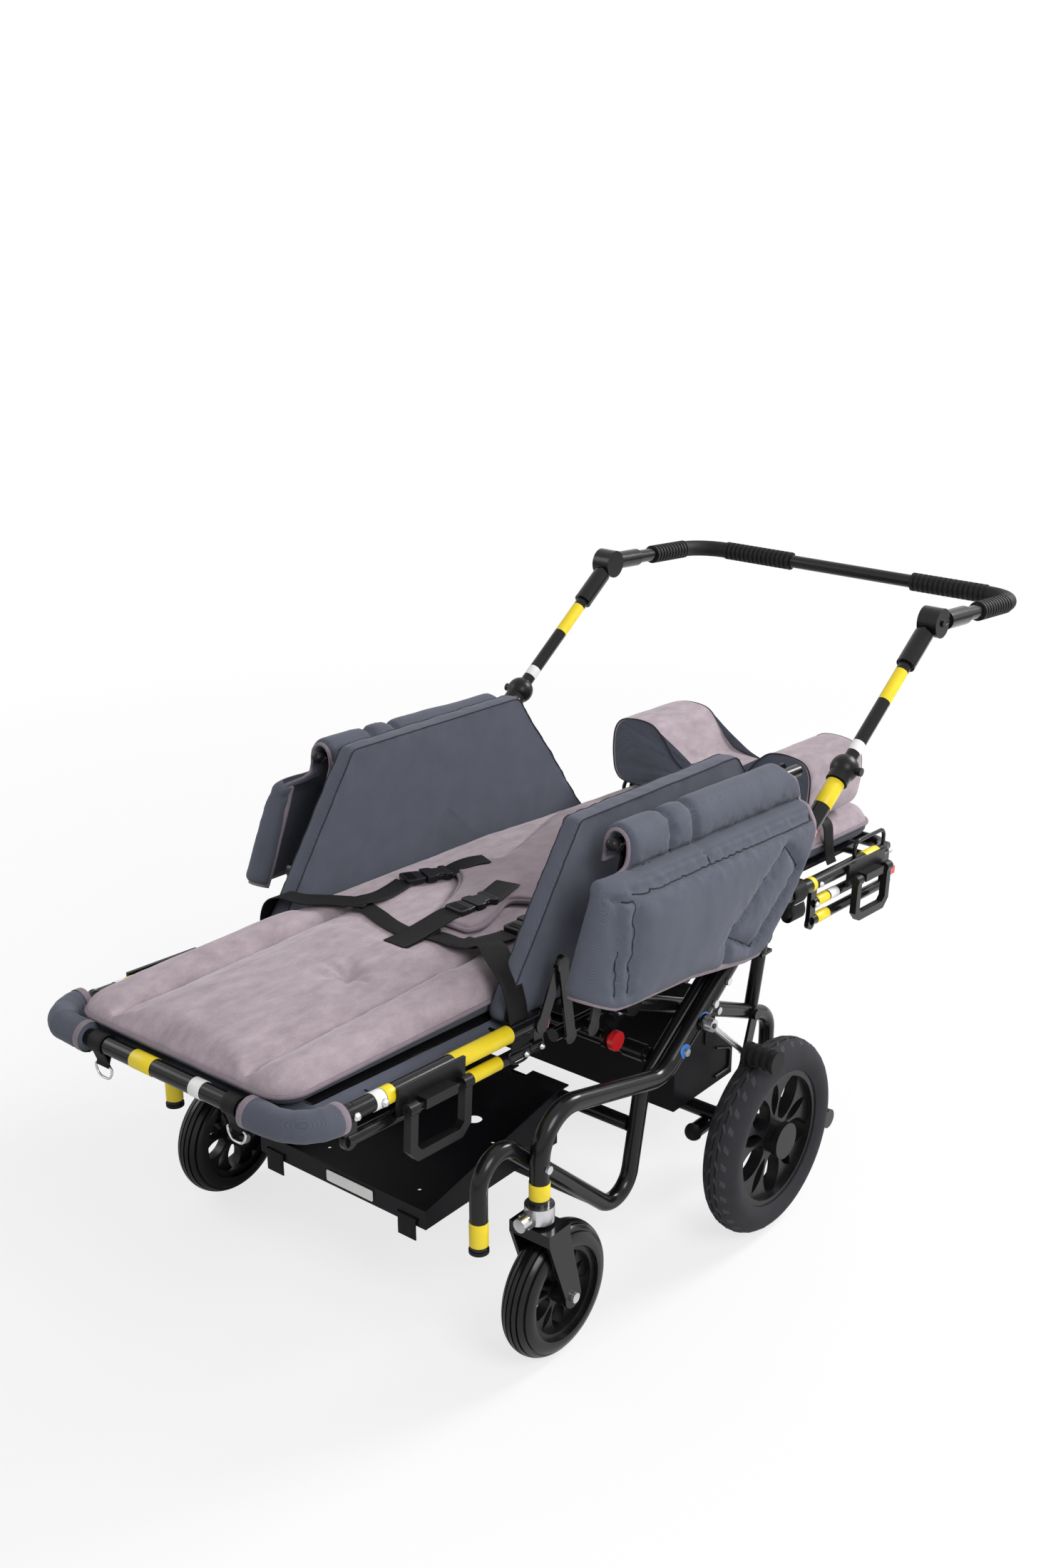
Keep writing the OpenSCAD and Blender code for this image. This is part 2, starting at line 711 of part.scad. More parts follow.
// Wire bail on the flank of the box.
module box_bail() {
  out_x = box_x + bail_d / 2 + seat_gap;
  front_y = box_rear_y - 52;
  rear_y = box_rear_y - 12;
  low_z = box_low_z + 14;
  top_z = [box_low_z + 66, box_low_z + 50];
  p = [[front_y, top_z[0]], [rear_y, top_z[1]], [rear_y, low_z], [front_y, low_z]];
  color([0.12, 0.12, 0.12]) placed() pair() upright(out_x) bent(p, [0, 2 * bail_d, 2 * bail_d, 0], bail_d);
}

// Ball clamp at the top of each main tube, turned round the tube's axis, with a clamp knob.
module ball_clamps() {
  sleeve_r = tube_d / 2 + 4;
  knob_x = frame_x + ball_d / 2;
  nub = [3, 8, 14];
  color([0.04, 0.04, 0.045]) placed() pair() {
    translate([frame_x, ball_y, ball_z]) rotate([rise_deg - 90, 0, 0]) rotate_extrude() difference() {
      union() {
        circle(d = ball_d);
        translate([0, -ball_d * 0.62]) square([sleeve_r, ball_d * 0.5]);
      }
      translate([-ball_d, -ball_d]) square([ball_d + tube_d / 2 + run_gap, ball_d + seat_gap]);
      translate([-ball_d, 0]) square([ball_d + slide_d / 2 + seat_gap, ball_d]);
    }
    across(knob_x - nub[0], knob_x + nub[1], ball_y, ball_z, nub[2]);
  }
}

// Zinc clamp with a lock knob on each front post.
module caster_collars() {
  ring_d = tube_d + 14;
  ring_z = post_low_z + 4;
  lug = [18, 14, collar_h - 8];
  lug_y = post_y - ring_d / 2 - 12;
  knob_z = ring_z + collar_h / 2 - 2;
  color([0.72, 0.72, 0.74]) placed() pair() translate([frame_x, 0, 0]) difference() {
    union() {
      translate([0, post_y, ring_z]) cylinder(d = ring_d, h = collar_h);
      translate([-lug.x / 2, lug_y, ring_z + 2]) cube(lug);
      translate([0, lug_y + 5, knob_z]) rotate([90, 0, 0]) cylinder(d = knob_d, h = knob_d * 0.8);
    }
    translate([0, post_y, ring_z - weld]) cylinder(d = tube_d + 2 * run_gap, h = collar_h + 2 * weld);
  }
}

module frame_bolts() {
  head_h = head_d / 3;
  out_x = frame_x + tube_d / 2 + seat_gap;
  leg_out = leg_x + leg_tube_d / 2 + seat_gap;
  color([0.75, 0.75, 0.77]) placed() pair() {
    for (y = rise_bolts)
      across(out_x, out_x + head_h, loop_mid_y + y, dip_z + (loop_mid_y + y - dip_y) * rise, head_d);
    across(out_x, out_x + head_h, post_y, post_low_z + post_bolt, head_d);
    for (t = [0.5, 0.57])
      across(leg_out, leg_out + head_h * 0.75, mix(leg_path[0], leg_path[1], t).x,
        mix(leg_path[0], leg_path[1], t).y, head_d);
  }
}

// Rubber caps on the open tube ends.
module tube_caps() {
  cap_h = 5;
  room = 2 * leg_tube_d;
  color([0.03, 0.03, 0.032]) placed() pair() {
    translate([leg_x, arm_front_y - seat_gap, arm_z]) difference() {
      sphere(d = leg_tube_d + 4);
      translate([-leg_tube_d, 0, -leg_tube_d]) cube([room, room, room]);
    }
    translate([loop_x, step_y, step_low_z - seat_gap - cap_h]) cylinder(d = loop_d + 3, h = cap_h);
  }
}

// Step-on pedals behind the rear wheels.
module tip_pedals() {
  pedal_y = rear_axle_y + rear_r + 19;
  in_x = leg_x + leg_tube_d / 2 + seat_gap;
  out_x = rear_wheel_x + 10;
  arm_t = 6;
  disc_t = 7;
  root = [leg_back_y - 3, leg_back_z - 66];
  color([0.05, 0.05, 0.055]) placed() pair() {
    upright(in_x) link([pedal_y, pedal_z], root, pedal_d * 0.81, arm_t);
    across(in_x + arm_t - weld, out_x, pedal_y, pedal_z, pedal_d * 0.44);
    for (x = [out_x - 52, out_x - disc_t]) across(x, x + disc_t, pedal_y, pedal_z, pedal_d);
  }
}

module brake_mounts() {
  color([0.08, 0.08, 0.085]) placed() pair() {
    across(brake_in, brake_in + brake_plate, brake_y, brake_z, 3.5 * bolt_d);
    across(brake_in + brake_plate - weld, brake_in + 4 * brake_plate, brake_y, brake_z, bolt_d);
  }
}

module brake_lever(s) {
  hub_x = brake_in + brake_plate + 0.4;
  hub_w = 13;
  from = [hub_x + hub_w / 2 - 0.5, brake_y, brake_z];
  to = [rear_wheel_x - 15, roller_p.x, roller_p.y];
  run = to - from;
  color([0.7, 0.7, 0.72]) placed() scale_side(s) {
    difference() {
      union() {
        across(hub_x, hub_x + hub_w, brake_y, brake_z, 2.5 * bolt_d);
        translate(from) rotate([0, acos(run.z / norm(run)), atan2(run.y, run.x)])
          cylinder(d = rod_d, h = norm(run));
        across(to.x - rod_d / 2, rear_wheel_x + roller_bore_l - roller_in, to.y, to.z, rod_d + 1);
      }
      across(brake_in, brake_in + 2 * hub_w, brake_y, brake_z, bolt_d + 2 * run_gap);
    }
  }
}

module brake_lever_left() brake_lever(1);

module brake_lever_right() brake_lever(-1);

module brake_roller(s) {
  in_x = rear_wheel_x - roller_in;
  rib_w = 6;
  color([0.03, 0.03, 0.033]) placed() scale_side(s) difference() {
    union() {
      across(in_x, in_x + roller_l, roller_p.x, roller_p.y, roller_d - 8);
      for (x = [in_x : 2 * rib_w : in_x + roller_l - rib_w])
        across(x, x + rib_w, roller_p.x, roller_p.y, roller_d);
    }
    across(in_x - weld, in_x + roller_bore_l + seat_gap, roller_p.x, roller_p.y, rod_d + 1 + 2 * run_gap);
  }
}

module brake_roller_left() brake_roller(1);

module brake_roller_right() brake_roller(-1);

module caster_fork(s) {
  blade_x = caster_w / 2 + fork_gap;
  root_z = caster_r + 4;
  color([0.05, 0.05, 0.055]) placed() translate([s * frame_x, 0, 0]) difference() {
    union() {
      translate([-blade_x - fork_t, post_y - crown_front, crown_z])
        cube([2 * (blade_x + fork_t), crown_front + crown_rear, crown_h]);
      translate([0, post_y, crown_z]) cylinder(d = stem_d, h = 2 * crown_h + stem_l);
      for (x = [-blade_x - fork_t, blade_x]) upright(x) linear_extrude(fork_t) {
        translate([caster_y, caster_r]) circle(d = boss_d);
        polygon([[post_y - crown_front, crown_z + weld], [post_y + crown_rear, crown_z + weld],
          [caster_y + boss_d / 2, root_z], [caster_y - boss_d / 2, root_z]]);
      }
    }
    across(-caster_w, caster_w, caster_y, caster_r, bolt_d + 2 * run_gap);
  }
}

module caster_fork_left() caster_fork(1);

module caster_fork_right() caster_fork(-1);

module caster_axle(s) {
  out_x = caster_w / 2 + fork_gap + fork_t + seat_gap;
  nut_t = 5;
  color([0.7, 0.7, 0.72]) placed() translate([s * frame_x, 0, 0]) {
    across(-out_x, out_x, caster_y, caster_r, bolt_d);
    for (x = [-out_x - nut_t, out_x]) across(x, x + nut_t, caster_y, caster_r, bolt_d + 7);
  }
}

module caster_axle_left() caster_axle(1);

module caster_axle_right() caster_axle(-1);

module caster_rim(s) {
  disc_t = caster_w * 0.32;
  color([0.05, 0.05, 0.055]) placed() translate([s * frame_x, caster_y, caster_r])
    wheel_core(caster_rim_r, caster_w - 14, caster_hub_d, bolt_d + 4 * run_gap, caster_w + 2, disc_t);
}

module caster_rim_left() caster_rim(1);

module caster_rim_right() caster_rim(-1);

// A grooved tyre, axis along x.
module tyre(r, w, rim_r, grooves) {
  crown_r = r - w / 2;
  span = w * 0.16 * grooves;
  rotate([0, 90, 0]) rotate_extrude() difference() {
    union() {
      translate([crown_r, 0]) circle(d = w);
      translate([rim_r + run_gap, -w * 0.36]) square([crown_r - rim_r, w * 0.72]);
    }
    translate([0, -w]) square([rim_r + run_gap, 2 * w]);
    for (i = [0 : grooves - 1]) {
      z = span * ((i + 0.5) / grooves - 0.5);
      translate([crown_r + sqrt(w * w / 4 - z * z) - groove_cut, z - groove_w / 2]) square([w, groove_w]);
    }
  }
}

module caster_tyre(s) {
  color([0.03, 0.03, 0.032]) placed() translate([s * frame_x, caster_y, caster_r])
    tyre(caster_r, caster_w, caster_rim_r, caster_grooves);
}

module caster_tyre_left() caster_tyre(1);

module caster_tyre_right() caster_tyre(-1);

module rear_rim(s) {
  hub_w = rear_tyre_w - 8;
  cap_in = hub_w / 2 - weld;
  cap_t = 10;
  color([0.05, 0.05, 0.055]) placed() scale_side(s) translate([rear_wheel_x, rear_axle_y, rear_r]) {
    wheel_core(rear_rim_r, rear_tyre_w - 18, rear_hub_d, stub_d + 2 * run_gap, hub_w, rear_hub_d * 0.4);
    difference() {
      across(cap_in, cap_in + cap_t, 0, 0, cap_d);
      across(cap_in - weld, cap_in + cap_t / 2, 0, 0, stub_d + 2 * run_gap);
    }
  }
}

module rear_rim_left() rear_rim(1);

module rear_rim_right() rear_rim(-1);

module rear_tyre(s) {
  color([0.1, 0.1, 0.105]) placed() translate([s * rear_wheel_x, rear_axle_y, rear_r])
    tyre(rear_r, rear_tyre_w, rear_rim_r, rear_grooves);
}

module rear_tyre_left() rear_tyre(1);

module rear_tyre_right() rear_tyre(-1);

module seat_frame() {
  front_v = knee_v + 10;
  rear_v = hip_v + 212;
  bar_v = [front_v + 12, 100, rear_v - 12];
  stud_x = pad_x - 20;
  lug_in = rail_x + low_rail_d / 2 - weld;
  lug_out = leg_x - leg_tube_d / 2 - seat_gap;
  lug_w = 34;
  lock_plate = [30, 6];
  ear_lean = 26;
  color([0.06, 0.06, 0.065]) bed() difference() {
    union() {
      pair() lengthwise(rail_x, front_v, rear_v, -rail_drop, low_rail_d);
      for (v = bar_v) across(-rail_x, rail_x, v, -rail_drop, low_rail_d - 2);
      translate([-board_x, front_v, board_low]) cube([2 * board_x, hip_v - hinge_clear - front_v, board_t]);
      for (x = side * stud_x, v = [bar_v[0], bar_v[1]])
        translate([x, v, -rail_drop]) cylinder(d = low_rail_d * 0.7, h = rail_drop);
      pair() {
        upright(lug_in) link([tilt_v, tilt_w], [tilt_v, -rail_drop], lug_w, lug_out - lug_in);
        upright(lug_in) link([lock_v, lock_w], [tilt_v, -rail_drop], lock_plate[0], lock_plate[1]);
        seat_ear(hip_v, -ear_lean);
        seat_ear(knee_v, ear_lean);
      }
    }
    pair() across(lug_in - hinge_clear, lug_out + weld, tilt_v, tilt_w, stub_d + 2 * run_gap);
    pair() across(lug_in - hinge_clear, lug_out + weld, lock_v, lock_w, bolt_d + 2 * run_gap);
  }
}

// An upright plate on the seat rail with a hinge pin pointing inward.
module seat_ear(v, lean) {
  upright(ear_out) link([v, hinge_w], [v + lean, -rail_drop], plate_w, ear_t);
  across(ear_in - weld, ear_out + weld, v, hinge_w, pin_d);
  across(rail_x, ear_out + weld, v + lean, -rail_drop, pin_d + 4);
}

// The matching plate of a swinging section.
module swing_ear(v, lean) {
  difference() {
    union() {
      upright(ear_in) link([v, hinge_w], [v + lean, 0], plate_w + 2, ear_t - 1);
      across(rail_x, ear_in + weld, v + lean, 0, pin_d + 6);
    }
    across(ear_in - ear_t, ear_out + ear_t, v, hinge_w, pin_d + 2 * run_gap);
  }
}

module lock_knob(s) {
  face_x = rail_x + low_rail_d / 2 + 5;
  stalk = [-14, 8];
  neck = [1, 8];
  cap = [7, 16];
  color([0.75, 0.08, 0.08]) bed() scale_side(s) {
    across(face_x + stalk[0], face_x + stalk[1], lock_v, lock_w, bolt_d);
    across(face_x + neck[0], face_x + neck[1], lock_v, lock_w, lock_d * 0.6);
    across(face_x + cap[0], face_x + cap[1], lock_v, lock_w, lock_d);
  }
}

module lock_knob_left() lock_knob(1);

module lock_knob_right() lock_knob(-1);

module lying_pad(v0, v1, top0, top1) {
  mid0 = (top0 + pad_low) / 2;
  mid1 = (top1 + pad_low) / 2;
  columns = 22;
  rows = 12;
  color([0.6, 0.565, 0.57]) bed()
    pillow([[-pad_x, v0, mid0], [pad_x, v0, mid0], [pad_x, v1, mid1], [-pad_x, v1, mid1]],
      [0, 0, 1], function (p) p.z - pad_low - channel(p.x), function (p) p.z - pad_low, columns, rows);
}

module seat_pad() lying_pad(knee_v + hinge_gap, hip_v - hinge_gap, knee_top, body_top);

module back_pad() lying_pad(hip_v + hinge_gap, head_v + head_pad_out, body_top, body_top - back_fall);

module leg_pad() lying_pad(foot_v + hinge_clear, knee_v - hinge_gap, foot_top, knee_top);

module side_cushions() {
  x = cush_in + cush_t / 2;
  top_w = arm_w + cush_rise;
  slant = 4;
  c = [[x, cush_foot_v, pad_low], [x, cush_tail_v, pad_low], [x, cush_rear_v, top_w + slant],
    [x, cush_front_v, top_w - slant]];
  columns = 16;
  rows = 8;
  color([0.29, 0.305, 0.33]) bed() pair()
    pillow(c, [1, 0, 0], function (p) cush_t / 2, function (p) cush_t / 2, columns, rows);
}

module arm_bars() {
  stay_x = ear_out + ear_t + 2;
  stay_v = [[12, -52], [hip_v + 196, hip_v + 196]];
  color([0.05, 0.05, 0.055]) bed() pair() {
    lengthwise(arm_x, arm_front_v, arm_rear_v, arm_w, arm_d);
    for (v = stay_v) {
      upright(stay_x) link([v[0], arm_w], [v[1], -rail_drop], plate_w + 2, ear_t);
      across(rail_x + low_rail_d / 2 + seat_gap, stay_x + weld, v[1], -rail_drop, pin_d + 6);
      across(stay_x, arm_x, v[0], arm_w, pin_d + 4);
    }
  }
}

// Quilted outer panel: rolls over the arm bar and flares out over the main tube.
module side_panels() {
  columns = 14;
  bends = 5;
  falls = 5;
  rows = bends + 3 + falls;
  roll_r = arm_d / 2 + seat_gap + panel_t / 2;
  roll_deg = 105;
  low_x = frame_x + tube_d / 2 + panel_t / 2 + 2;
  seam_w = arm_w - panel_seam;
  ridge_w = seam_w - panel_ridge;
  top = arm_x + roll_r;
  line = concat(
    [for (j = [0 : bends]) let (a = roll_deg * (1 - j / bends))
      [arm_x + roll_r * cos(a), arm_w + roll_r * sin(a)]],
    [[top + 1, seam_w], [mix(top, low_x, 0.45), mix(seam_w, ridge_w, 0.15)],
      [mix(top, low_x, 0.8), mix(seam_w, ridge_w, 0.45)]],
    [for (j = [1 : falls]) [low_x, mix(ridge_w, hem_rear_w, (j - 1) / (falls - 1))]]);
  fall = function (j) max(0, (j - bends - 3 - 1) / (falls - 1));
  front = function (j) j <= bends ? roll_front_v : j == bends + 1 ? mix(roll_front_v, flap_top_v, 0.75)
    : mix(flap_top_v, flap_low_v, fall(j));
  rear = function (j) j <= bends ? mix(roll_rear_v, panel_rear_v, 0.6 * j / bends)
    : panel_rear_v - (panel_rear_v - hem_rear_v) * (seam_w - line[j].y) / (seam_w - hem_rear_w)
      + panel_bow * fall(j) * (1 - fall(j));
  lift = function (s, j) fall(j) * mix(hem_front_w - hem_rear_w, 0, min(1, s * 1.4));
  curl = function (s, j) j < bends + 3 ? 0
    : flap_curl * pow(max(0, 1 - s / 0.25), 2) * (j == bends + 3 ? 0.5 : 1);
  slope = function (j) unit(line[min(rows, j + 1)] - line[max(0, j - 1)]);
  stitch = function (j) j == bends + 1 || j == bends + 3 ? 0.4 : j == 0 || j == rows ? 0.3 : 1;
  half = function (s, j) panel_t / 2 * stitch(j) * (0.3 + 0.7 * pow(1 - pow(2 * s - 1, 6), 0.4));
  mid = function (s, j) [line[j].x - curl(s, j), mix(front(j), rear(j), s), line[j].y + lift(s, j)];
  out = function (j) [-slope(j).y, 0, slope(j).x];
  color([0.27, 0.28, 0.31]) bed() pair()
    skin([for (i = [0 : columns], j = [0 : rows]) mid(i / columns, j) - out(j) * half(i / columns, j)],
      [for (i = [0 : columns], j = [0 : rows]) mid(i / columns, j) + out(j) * half(i / columns, j)],
      columns, rows);
}

// One length of the harness vest, lying on the pads.
module vest(v0, v1, rows) {
  columns = 8;
  rim = 0.25;
  mid_w = function (v) pad_top(v) + seat_gap + harness_t / 2;
  mid = [for (i = [0 : columns], j = [0 : rows]) let (v = mix(v0, v1, j / rows))
    [mix(lookup(v, vest_far), lookup(v, vest_near), i / columns), v, mid_w(v)]];
  half = [for (i = [0 : columns], j = [0 : rows]) harness_t / 2 * mix(rim, 1, crown(i / columns, j / rows))];
  color([0.6, 0.565, 0.57]) bed()
    skin([for (i = [0 : len(mid) - 1]) mid[i] + [0, 0, half[i]]],
      [for (i = [0 : len(mid) - 1]) mid[i] - [0, 0, half[i]]], columns, rows);
}

module harness_pad() vest(harness_tip_v, hip_v - fold_gap, 16);

module chest_pad() vest(hip_v + fold_gap, harness_end_v, 10);

module back_frame() {
  p = [[-rail_x, hip_v + hinge_clear], [-rail_x, head_v], [rail_x, head_v], [rail_x, hip_v + hinge_clear]];
  double_v = [head_v - 270, head_v - 16];
  double_w = [-rail_drop, -2 * rail_drop + 4];
  board_l = head_v - hip_v - 56;
  bar_v = [head_v - 264, head_v - 60];
  stem = 22;
  color([0.06, 0.06, 0.065]) bed() {
    bent(p, [0, head_corner_r, head_corner_r, 0], rail_d);
    translate([-swing_x, hip_v + hinge_clear, board_low]) cube([2 * swing_x, board_l, board_t]);
    for (v = bar_v) across(-rail_x, rail_x, v, brace_w, brace_d);
    pair() {
      for (w = double_w) lengthwise(rail_x, double_v[0], double_v[1], w, low_rail_d - 2);
      for (v = double_v) upright(rail_x - brace_t / 2) link([v, 0], [v, -2 * rail_drop], stem, brace_t);
      swing_ear(hip_v, swing_lean);
    }
  }
}

// Mounting plates with the hinge pins of the carry grips.
module grip_plate(v) {
  plate = [5, grip_l + 24, 40];
  block = [18, grip_l - 44, 14];
  plate_low = -28;
  color([0.04, 0.04, 0.045]) {
    translate([ear_in, v - plate.y / 2, plate_low]) cube(plate);
    translate([ear_in + plate.x - weld, v - block.y / 2, pin_w - block.z / 2]) cube(block);
    lengthwise(grip_pin_x, v - grip_l / 2 - 8, v + grip_l / 2 + 8, pin_w, grip_pin_d);
  }
}

module back_plates() bed() pair() grip_plate(back_grip_v);

module leg_plates() bed() pair() grip_plate(leg_grip_v);

// A flat carry grip with a window, hung on its hinge pin.
module grip(v, s) {
  out = [grip_l / 2 + grip_d / 2, grip_h + grip_d / 2];
  room = [grip_l / 2 - grip_d / 2, grip_h - grip_d / 2];
  cut = 16;
  eye = 18;
  color([0.05, 0.05, 0.055]) bed() scale_side(s) difference() {
    union() {
      upright(grip_pin_x - grip_t / 2) translate([v, pin_w]) linear_extrude(grip_t)
        polygon([[-out.x, 0], [-out.x, cut - out.y], [cut - out.x, -out.y], [out.x - cut, -out.y],
          [out.x, cut - out.y], [out.x, 0], [room.x, 0], [room.x, cut / 2 - room.y],
          [room.x - cut / 2, -room.y], [cut / 2 - room.x, -room.y], [-room.x, cut / 2 - room.y],
          [-room.x, 0]]);
      for (k = side * grip_l / 2) lengthwise(grip_pin_x, v + k - eye / 2, v + k + eye / 2, pin_w, eye);
    }
    lengthwise(grip_pin_x, v - grip_l, v + grip_l, pin_w, grip_pin_d + 2 * run_gap);
  }
}

module back_grip_left() grip(back_grip_v, 1);

module back_grip_right() grip(back_grip_v, -1);

module leg_grip_left() grip(leg_grip_v, 1);

module leg_grip_right() grip(leg_grip_v, -1);

// Wire bails that stand on the head rails.
module back_bails() {
  v0 = head_v - 136;
  v1 = head_v - 32;
  wire = 7;
  low = rail_d / 2 + seat_gap;
  top = 40;
  p = [[v0, low], [v0, top], [v1, top], [v1, low]];
  color([0.05, 0.05, 0.055]) bed() pair() upright(rail_x + 2) bent(p, [0, 2 * wire, 2 * wire, 0], wire);
}

// A headrest hollowed along its middle between two wings.
module headrest() {
  columns = 24;
  rows = 8;
  blunt = 0.8;
  low = function (j) pad_top(head_front_v + head_l * ease(j, rows)) + seat_gap;
  rise_at = function (u) head_hollow * (1 - lookup(u, wing)) + head_h * lookup(u, wing);
  round = function (j) mix(blunt, 1, pow(1 - pow(2 * ease(j, rows) - 1, 4), 0.5));
  spot = function (i, j, z) [head_x * (2 * i / columns - 1), head_front_v + head_l * ease(j, rows), z];
  color([0.6, 0.565, 0.57]) bed()
    skin([for (i = [0 : columns], j = [0 : rows])
        spot(i, j, low(j) + rise_at(abs(2 * i / columns - 1)) * round(j))],
      [for (i = [0 : columns], j = [0 : rows]) spot(i, j, low(j))], columns, rows);
}

module leg_frame() {
  p = [[rail_x, knee_v - hinge_clear], [rail_x, foot_v], [-rail_x, foot_v], [-rail_x, knee_v - hinge_clear]];
  end_v = foot_v + 80;
  board_v = foot_v + 60;
  bar_v = [end_v + 60, knee_v - 90];
  stem_v = [end_v, knee_v - 28];
  color([0.06, 0.06, 0.065]) bed() {
    bent(p, [0, leg_corner_r, leg_corner_r, 0], rail_d);
    translate([-swing_x, board_v, board_low]) cube([2 * swing_x, knee_v - hinge_clear - board_v, board_t]);
    for (v = bar_v) across(-rail_x, rail_x, v, brace_w, brace_d);
    pair() {
      lengthwise(rail_x, end_v - 6, stem_v[1] + 6, -rail_drop, low_rail_d - 2);
      for (v = stem_v) upright(rail_x - brace_t / 2) link([v, 0], [v, -rail_drop], plate_w + 2, brace_t);
      swing_ear(knee_v, -swing_lean);
    }
  }
}

// Padded sleeves over the corners of the foot bar.
module foot_sleeves() {
  p = [[rail_x - sleeve_in, foot_v], [rail_x, foot_v], [rail_x, foot_v + sleeve_back]];
  color([0.09, 0.09, 0.095]) bed() pair() difference() {
    bent(p, [0, leg_corner_r, 0], foot_sleeve_d);
    bent(p, [0, leg_corner_r, 0], rail_d + 2 * seat_gap);
  }
}

// Telescope tubes with the lower halves of the angle joints.
module handle_tubes() {
  inside = 190;
  joint_p = [joint_y, joint_z];
  room = joint_d + 4;
  start = room / 2 + 2;
  pin_out = 20;
  color([0.05, 0.05, 0.055]) placed() pair() {
    difference() {
      upright(frame_x) bar(ball_p - along * inside, joint_p, slide_d);
      across(joint_face - seat_gap, joint_face + room, joint_y, joint_z, room);
    }
    upright(frame_x) bar(joint_p - along * (start + housing_l), joint_p - along * start, housing_d);
    across(frame_x - 14, joint_face - seat_gap, joint_y, joint_z, joint_d);
    across(joint_face - weld, joint_face + pin_out, joint_y, joint_z, stub_d);
  }
}

module at_joint() placed() translate([0, joint_y, joint_z]) rotate([-bar_deg, 0, 0]) children();

module handle_bar() {
  p = [[-bar_x, 0], [-bar_x, bar_l], [bar_x, bar_l], [bar_x, 0]];
  disc_t = 17;
  room = joint_d + 4;
  start = room / 2 + 2;
  color([0.05, 0.05, 0.055]) at_joint() difference() {
    union() {
      bent(p, [0, bar_bend_r, bar_bend_r, 0], bar_d);
      pair() across(joint_face, joint_face + disc_t, 0, 0, joint_d);
      pair() lengthwise(bar_x, start, start + housing_l, 0, housing_d);
    }
    pair() across(joint_face - room / 2, joint_face, 0, 0, room);
    pair() across(joint_face - weld, joint_face + room / 2, 0, 0, stub_d + 2 * run_gap);
  }
}

// Ribbed rubber sleeves round the rear corners of the push bar.
module handle_grips() {
  start = [bar_x - sleeve_bar_l, bar_l - sleeve_arm_l];
  p = [[bar_x, start.y], [bar_x, bar_l], [start.x, bar_l]];
  rib = 6;
  pitch = 10;
  arm_end = bar_l - bar_bend_r - rib - 2;
  bar_end = bar_x - bar_bend_r - rib - 2;
  color([0.03, 0.03, 0.033]) at_joint() pair() difference() {
    union() {
      bent(p, [0, bar_bend_r, 0], sleeve_d - 4);
      for (y = [start.y : pitch : arm_end]) lengthwise(bar_x, y, y + rib, 0, sleeve_d);
      for (x = [start.x : pitch : bar_end]) across(x, x + rib, bar_l, 0, sleeve_d);
    }
    bent([p[0] - [0, weld], p[1], p[2] - [weld, 0]], [0, bar_bend_r, 0], bar_d + 2 * run_gap);
  }
}

side_frame_left();
side_frame_right();
loop_tubes();
cross_tubes();
rear_legs();
axle_beam();
prop_posts();
link_plates();
equipment_tray();
equipment_box();
box_bail();
ball_clamps();
caster_collars();
frame_bolts();
tube_caps();
tip_pedals();
brake_mounts();
caster_fork_left();
caster_fork_right();
caster_axle_left();
caster_axle_right();
caster_rim_left();
caster_rim_right();
caster_tyre_left();
caster_tyre_right();
rear_rim_left();
rear_rim_right();
rear_tyre_left();
rear_tyre_right();
brake_lever_left();
brake_lever_right();
brake_roller_left();
brake_roller_right();
seat_frame();
seat_pad();
side_cushions();
arm_bars();
side_panels();
harness_pad();
chest_pad();
lock_knob_left();
lock_knob_right();
back_frame();
back_pad();
back_plates();
back_bails();
back_grip_left();
back_grip_right();
headrest();
leg_frame();
leg_pad();
leg_plates();
foot_sleeves();
leg_grip_left();
leg_grip_right();
handle_tubes();
handle_bar();
handle_grips();
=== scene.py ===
"""Looks of the special needs buggy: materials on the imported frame, upholstery, straps and trim."""

import json
import math

import bmesh
import bpy
import numpy as np
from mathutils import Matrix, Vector, noise


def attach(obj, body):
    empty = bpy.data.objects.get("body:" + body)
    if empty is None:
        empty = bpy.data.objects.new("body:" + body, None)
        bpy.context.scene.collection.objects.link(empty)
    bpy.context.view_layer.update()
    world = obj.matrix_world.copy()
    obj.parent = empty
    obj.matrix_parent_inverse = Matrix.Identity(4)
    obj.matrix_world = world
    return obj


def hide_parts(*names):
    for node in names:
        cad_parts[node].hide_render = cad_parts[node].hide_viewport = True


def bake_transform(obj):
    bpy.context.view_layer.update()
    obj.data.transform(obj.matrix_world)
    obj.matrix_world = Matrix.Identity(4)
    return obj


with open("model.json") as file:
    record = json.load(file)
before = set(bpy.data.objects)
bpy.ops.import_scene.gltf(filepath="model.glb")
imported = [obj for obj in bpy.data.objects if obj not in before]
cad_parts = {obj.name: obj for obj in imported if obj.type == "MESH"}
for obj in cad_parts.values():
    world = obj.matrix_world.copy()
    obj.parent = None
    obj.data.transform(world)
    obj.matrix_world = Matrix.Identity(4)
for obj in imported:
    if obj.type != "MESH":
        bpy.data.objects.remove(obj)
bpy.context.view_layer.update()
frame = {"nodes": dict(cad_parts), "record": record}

SCENE = bpy.context.scene
SIDES = ((1, "left"), (-1, "right"))

# The shared frame: millimetres of the CAD working frame to metres of the row frame.
MID_Y = 251.532
BED_Z = 451.0
BED_S = math.sin(math.radians(3.4))
BED_C = math.cos(math.radians(3.4))


def work(x, y, z):
    """A point of the working frame in millimetres, as metres of the row frame."""
    return Vector((x, y - MID_Y, z)) / 1000


def bed(x, v, w):
    """A point of the sloping bed (across, along, square to it) in metres of the row frame."""
    return work(x, v * BED_C + w * BED_S, BED_Z - v * BED_S + w * BED_C)


def off_bed(p):
    """Across, along and square to the bed in millimetres, of a row frame point."""
    y, z = p.y * 1000 + MID_Y, p.z * 1000 - BED_Z
    return p.x * 1000, y * BED_C - z * BED_S, y * BED_S + z * BED_C


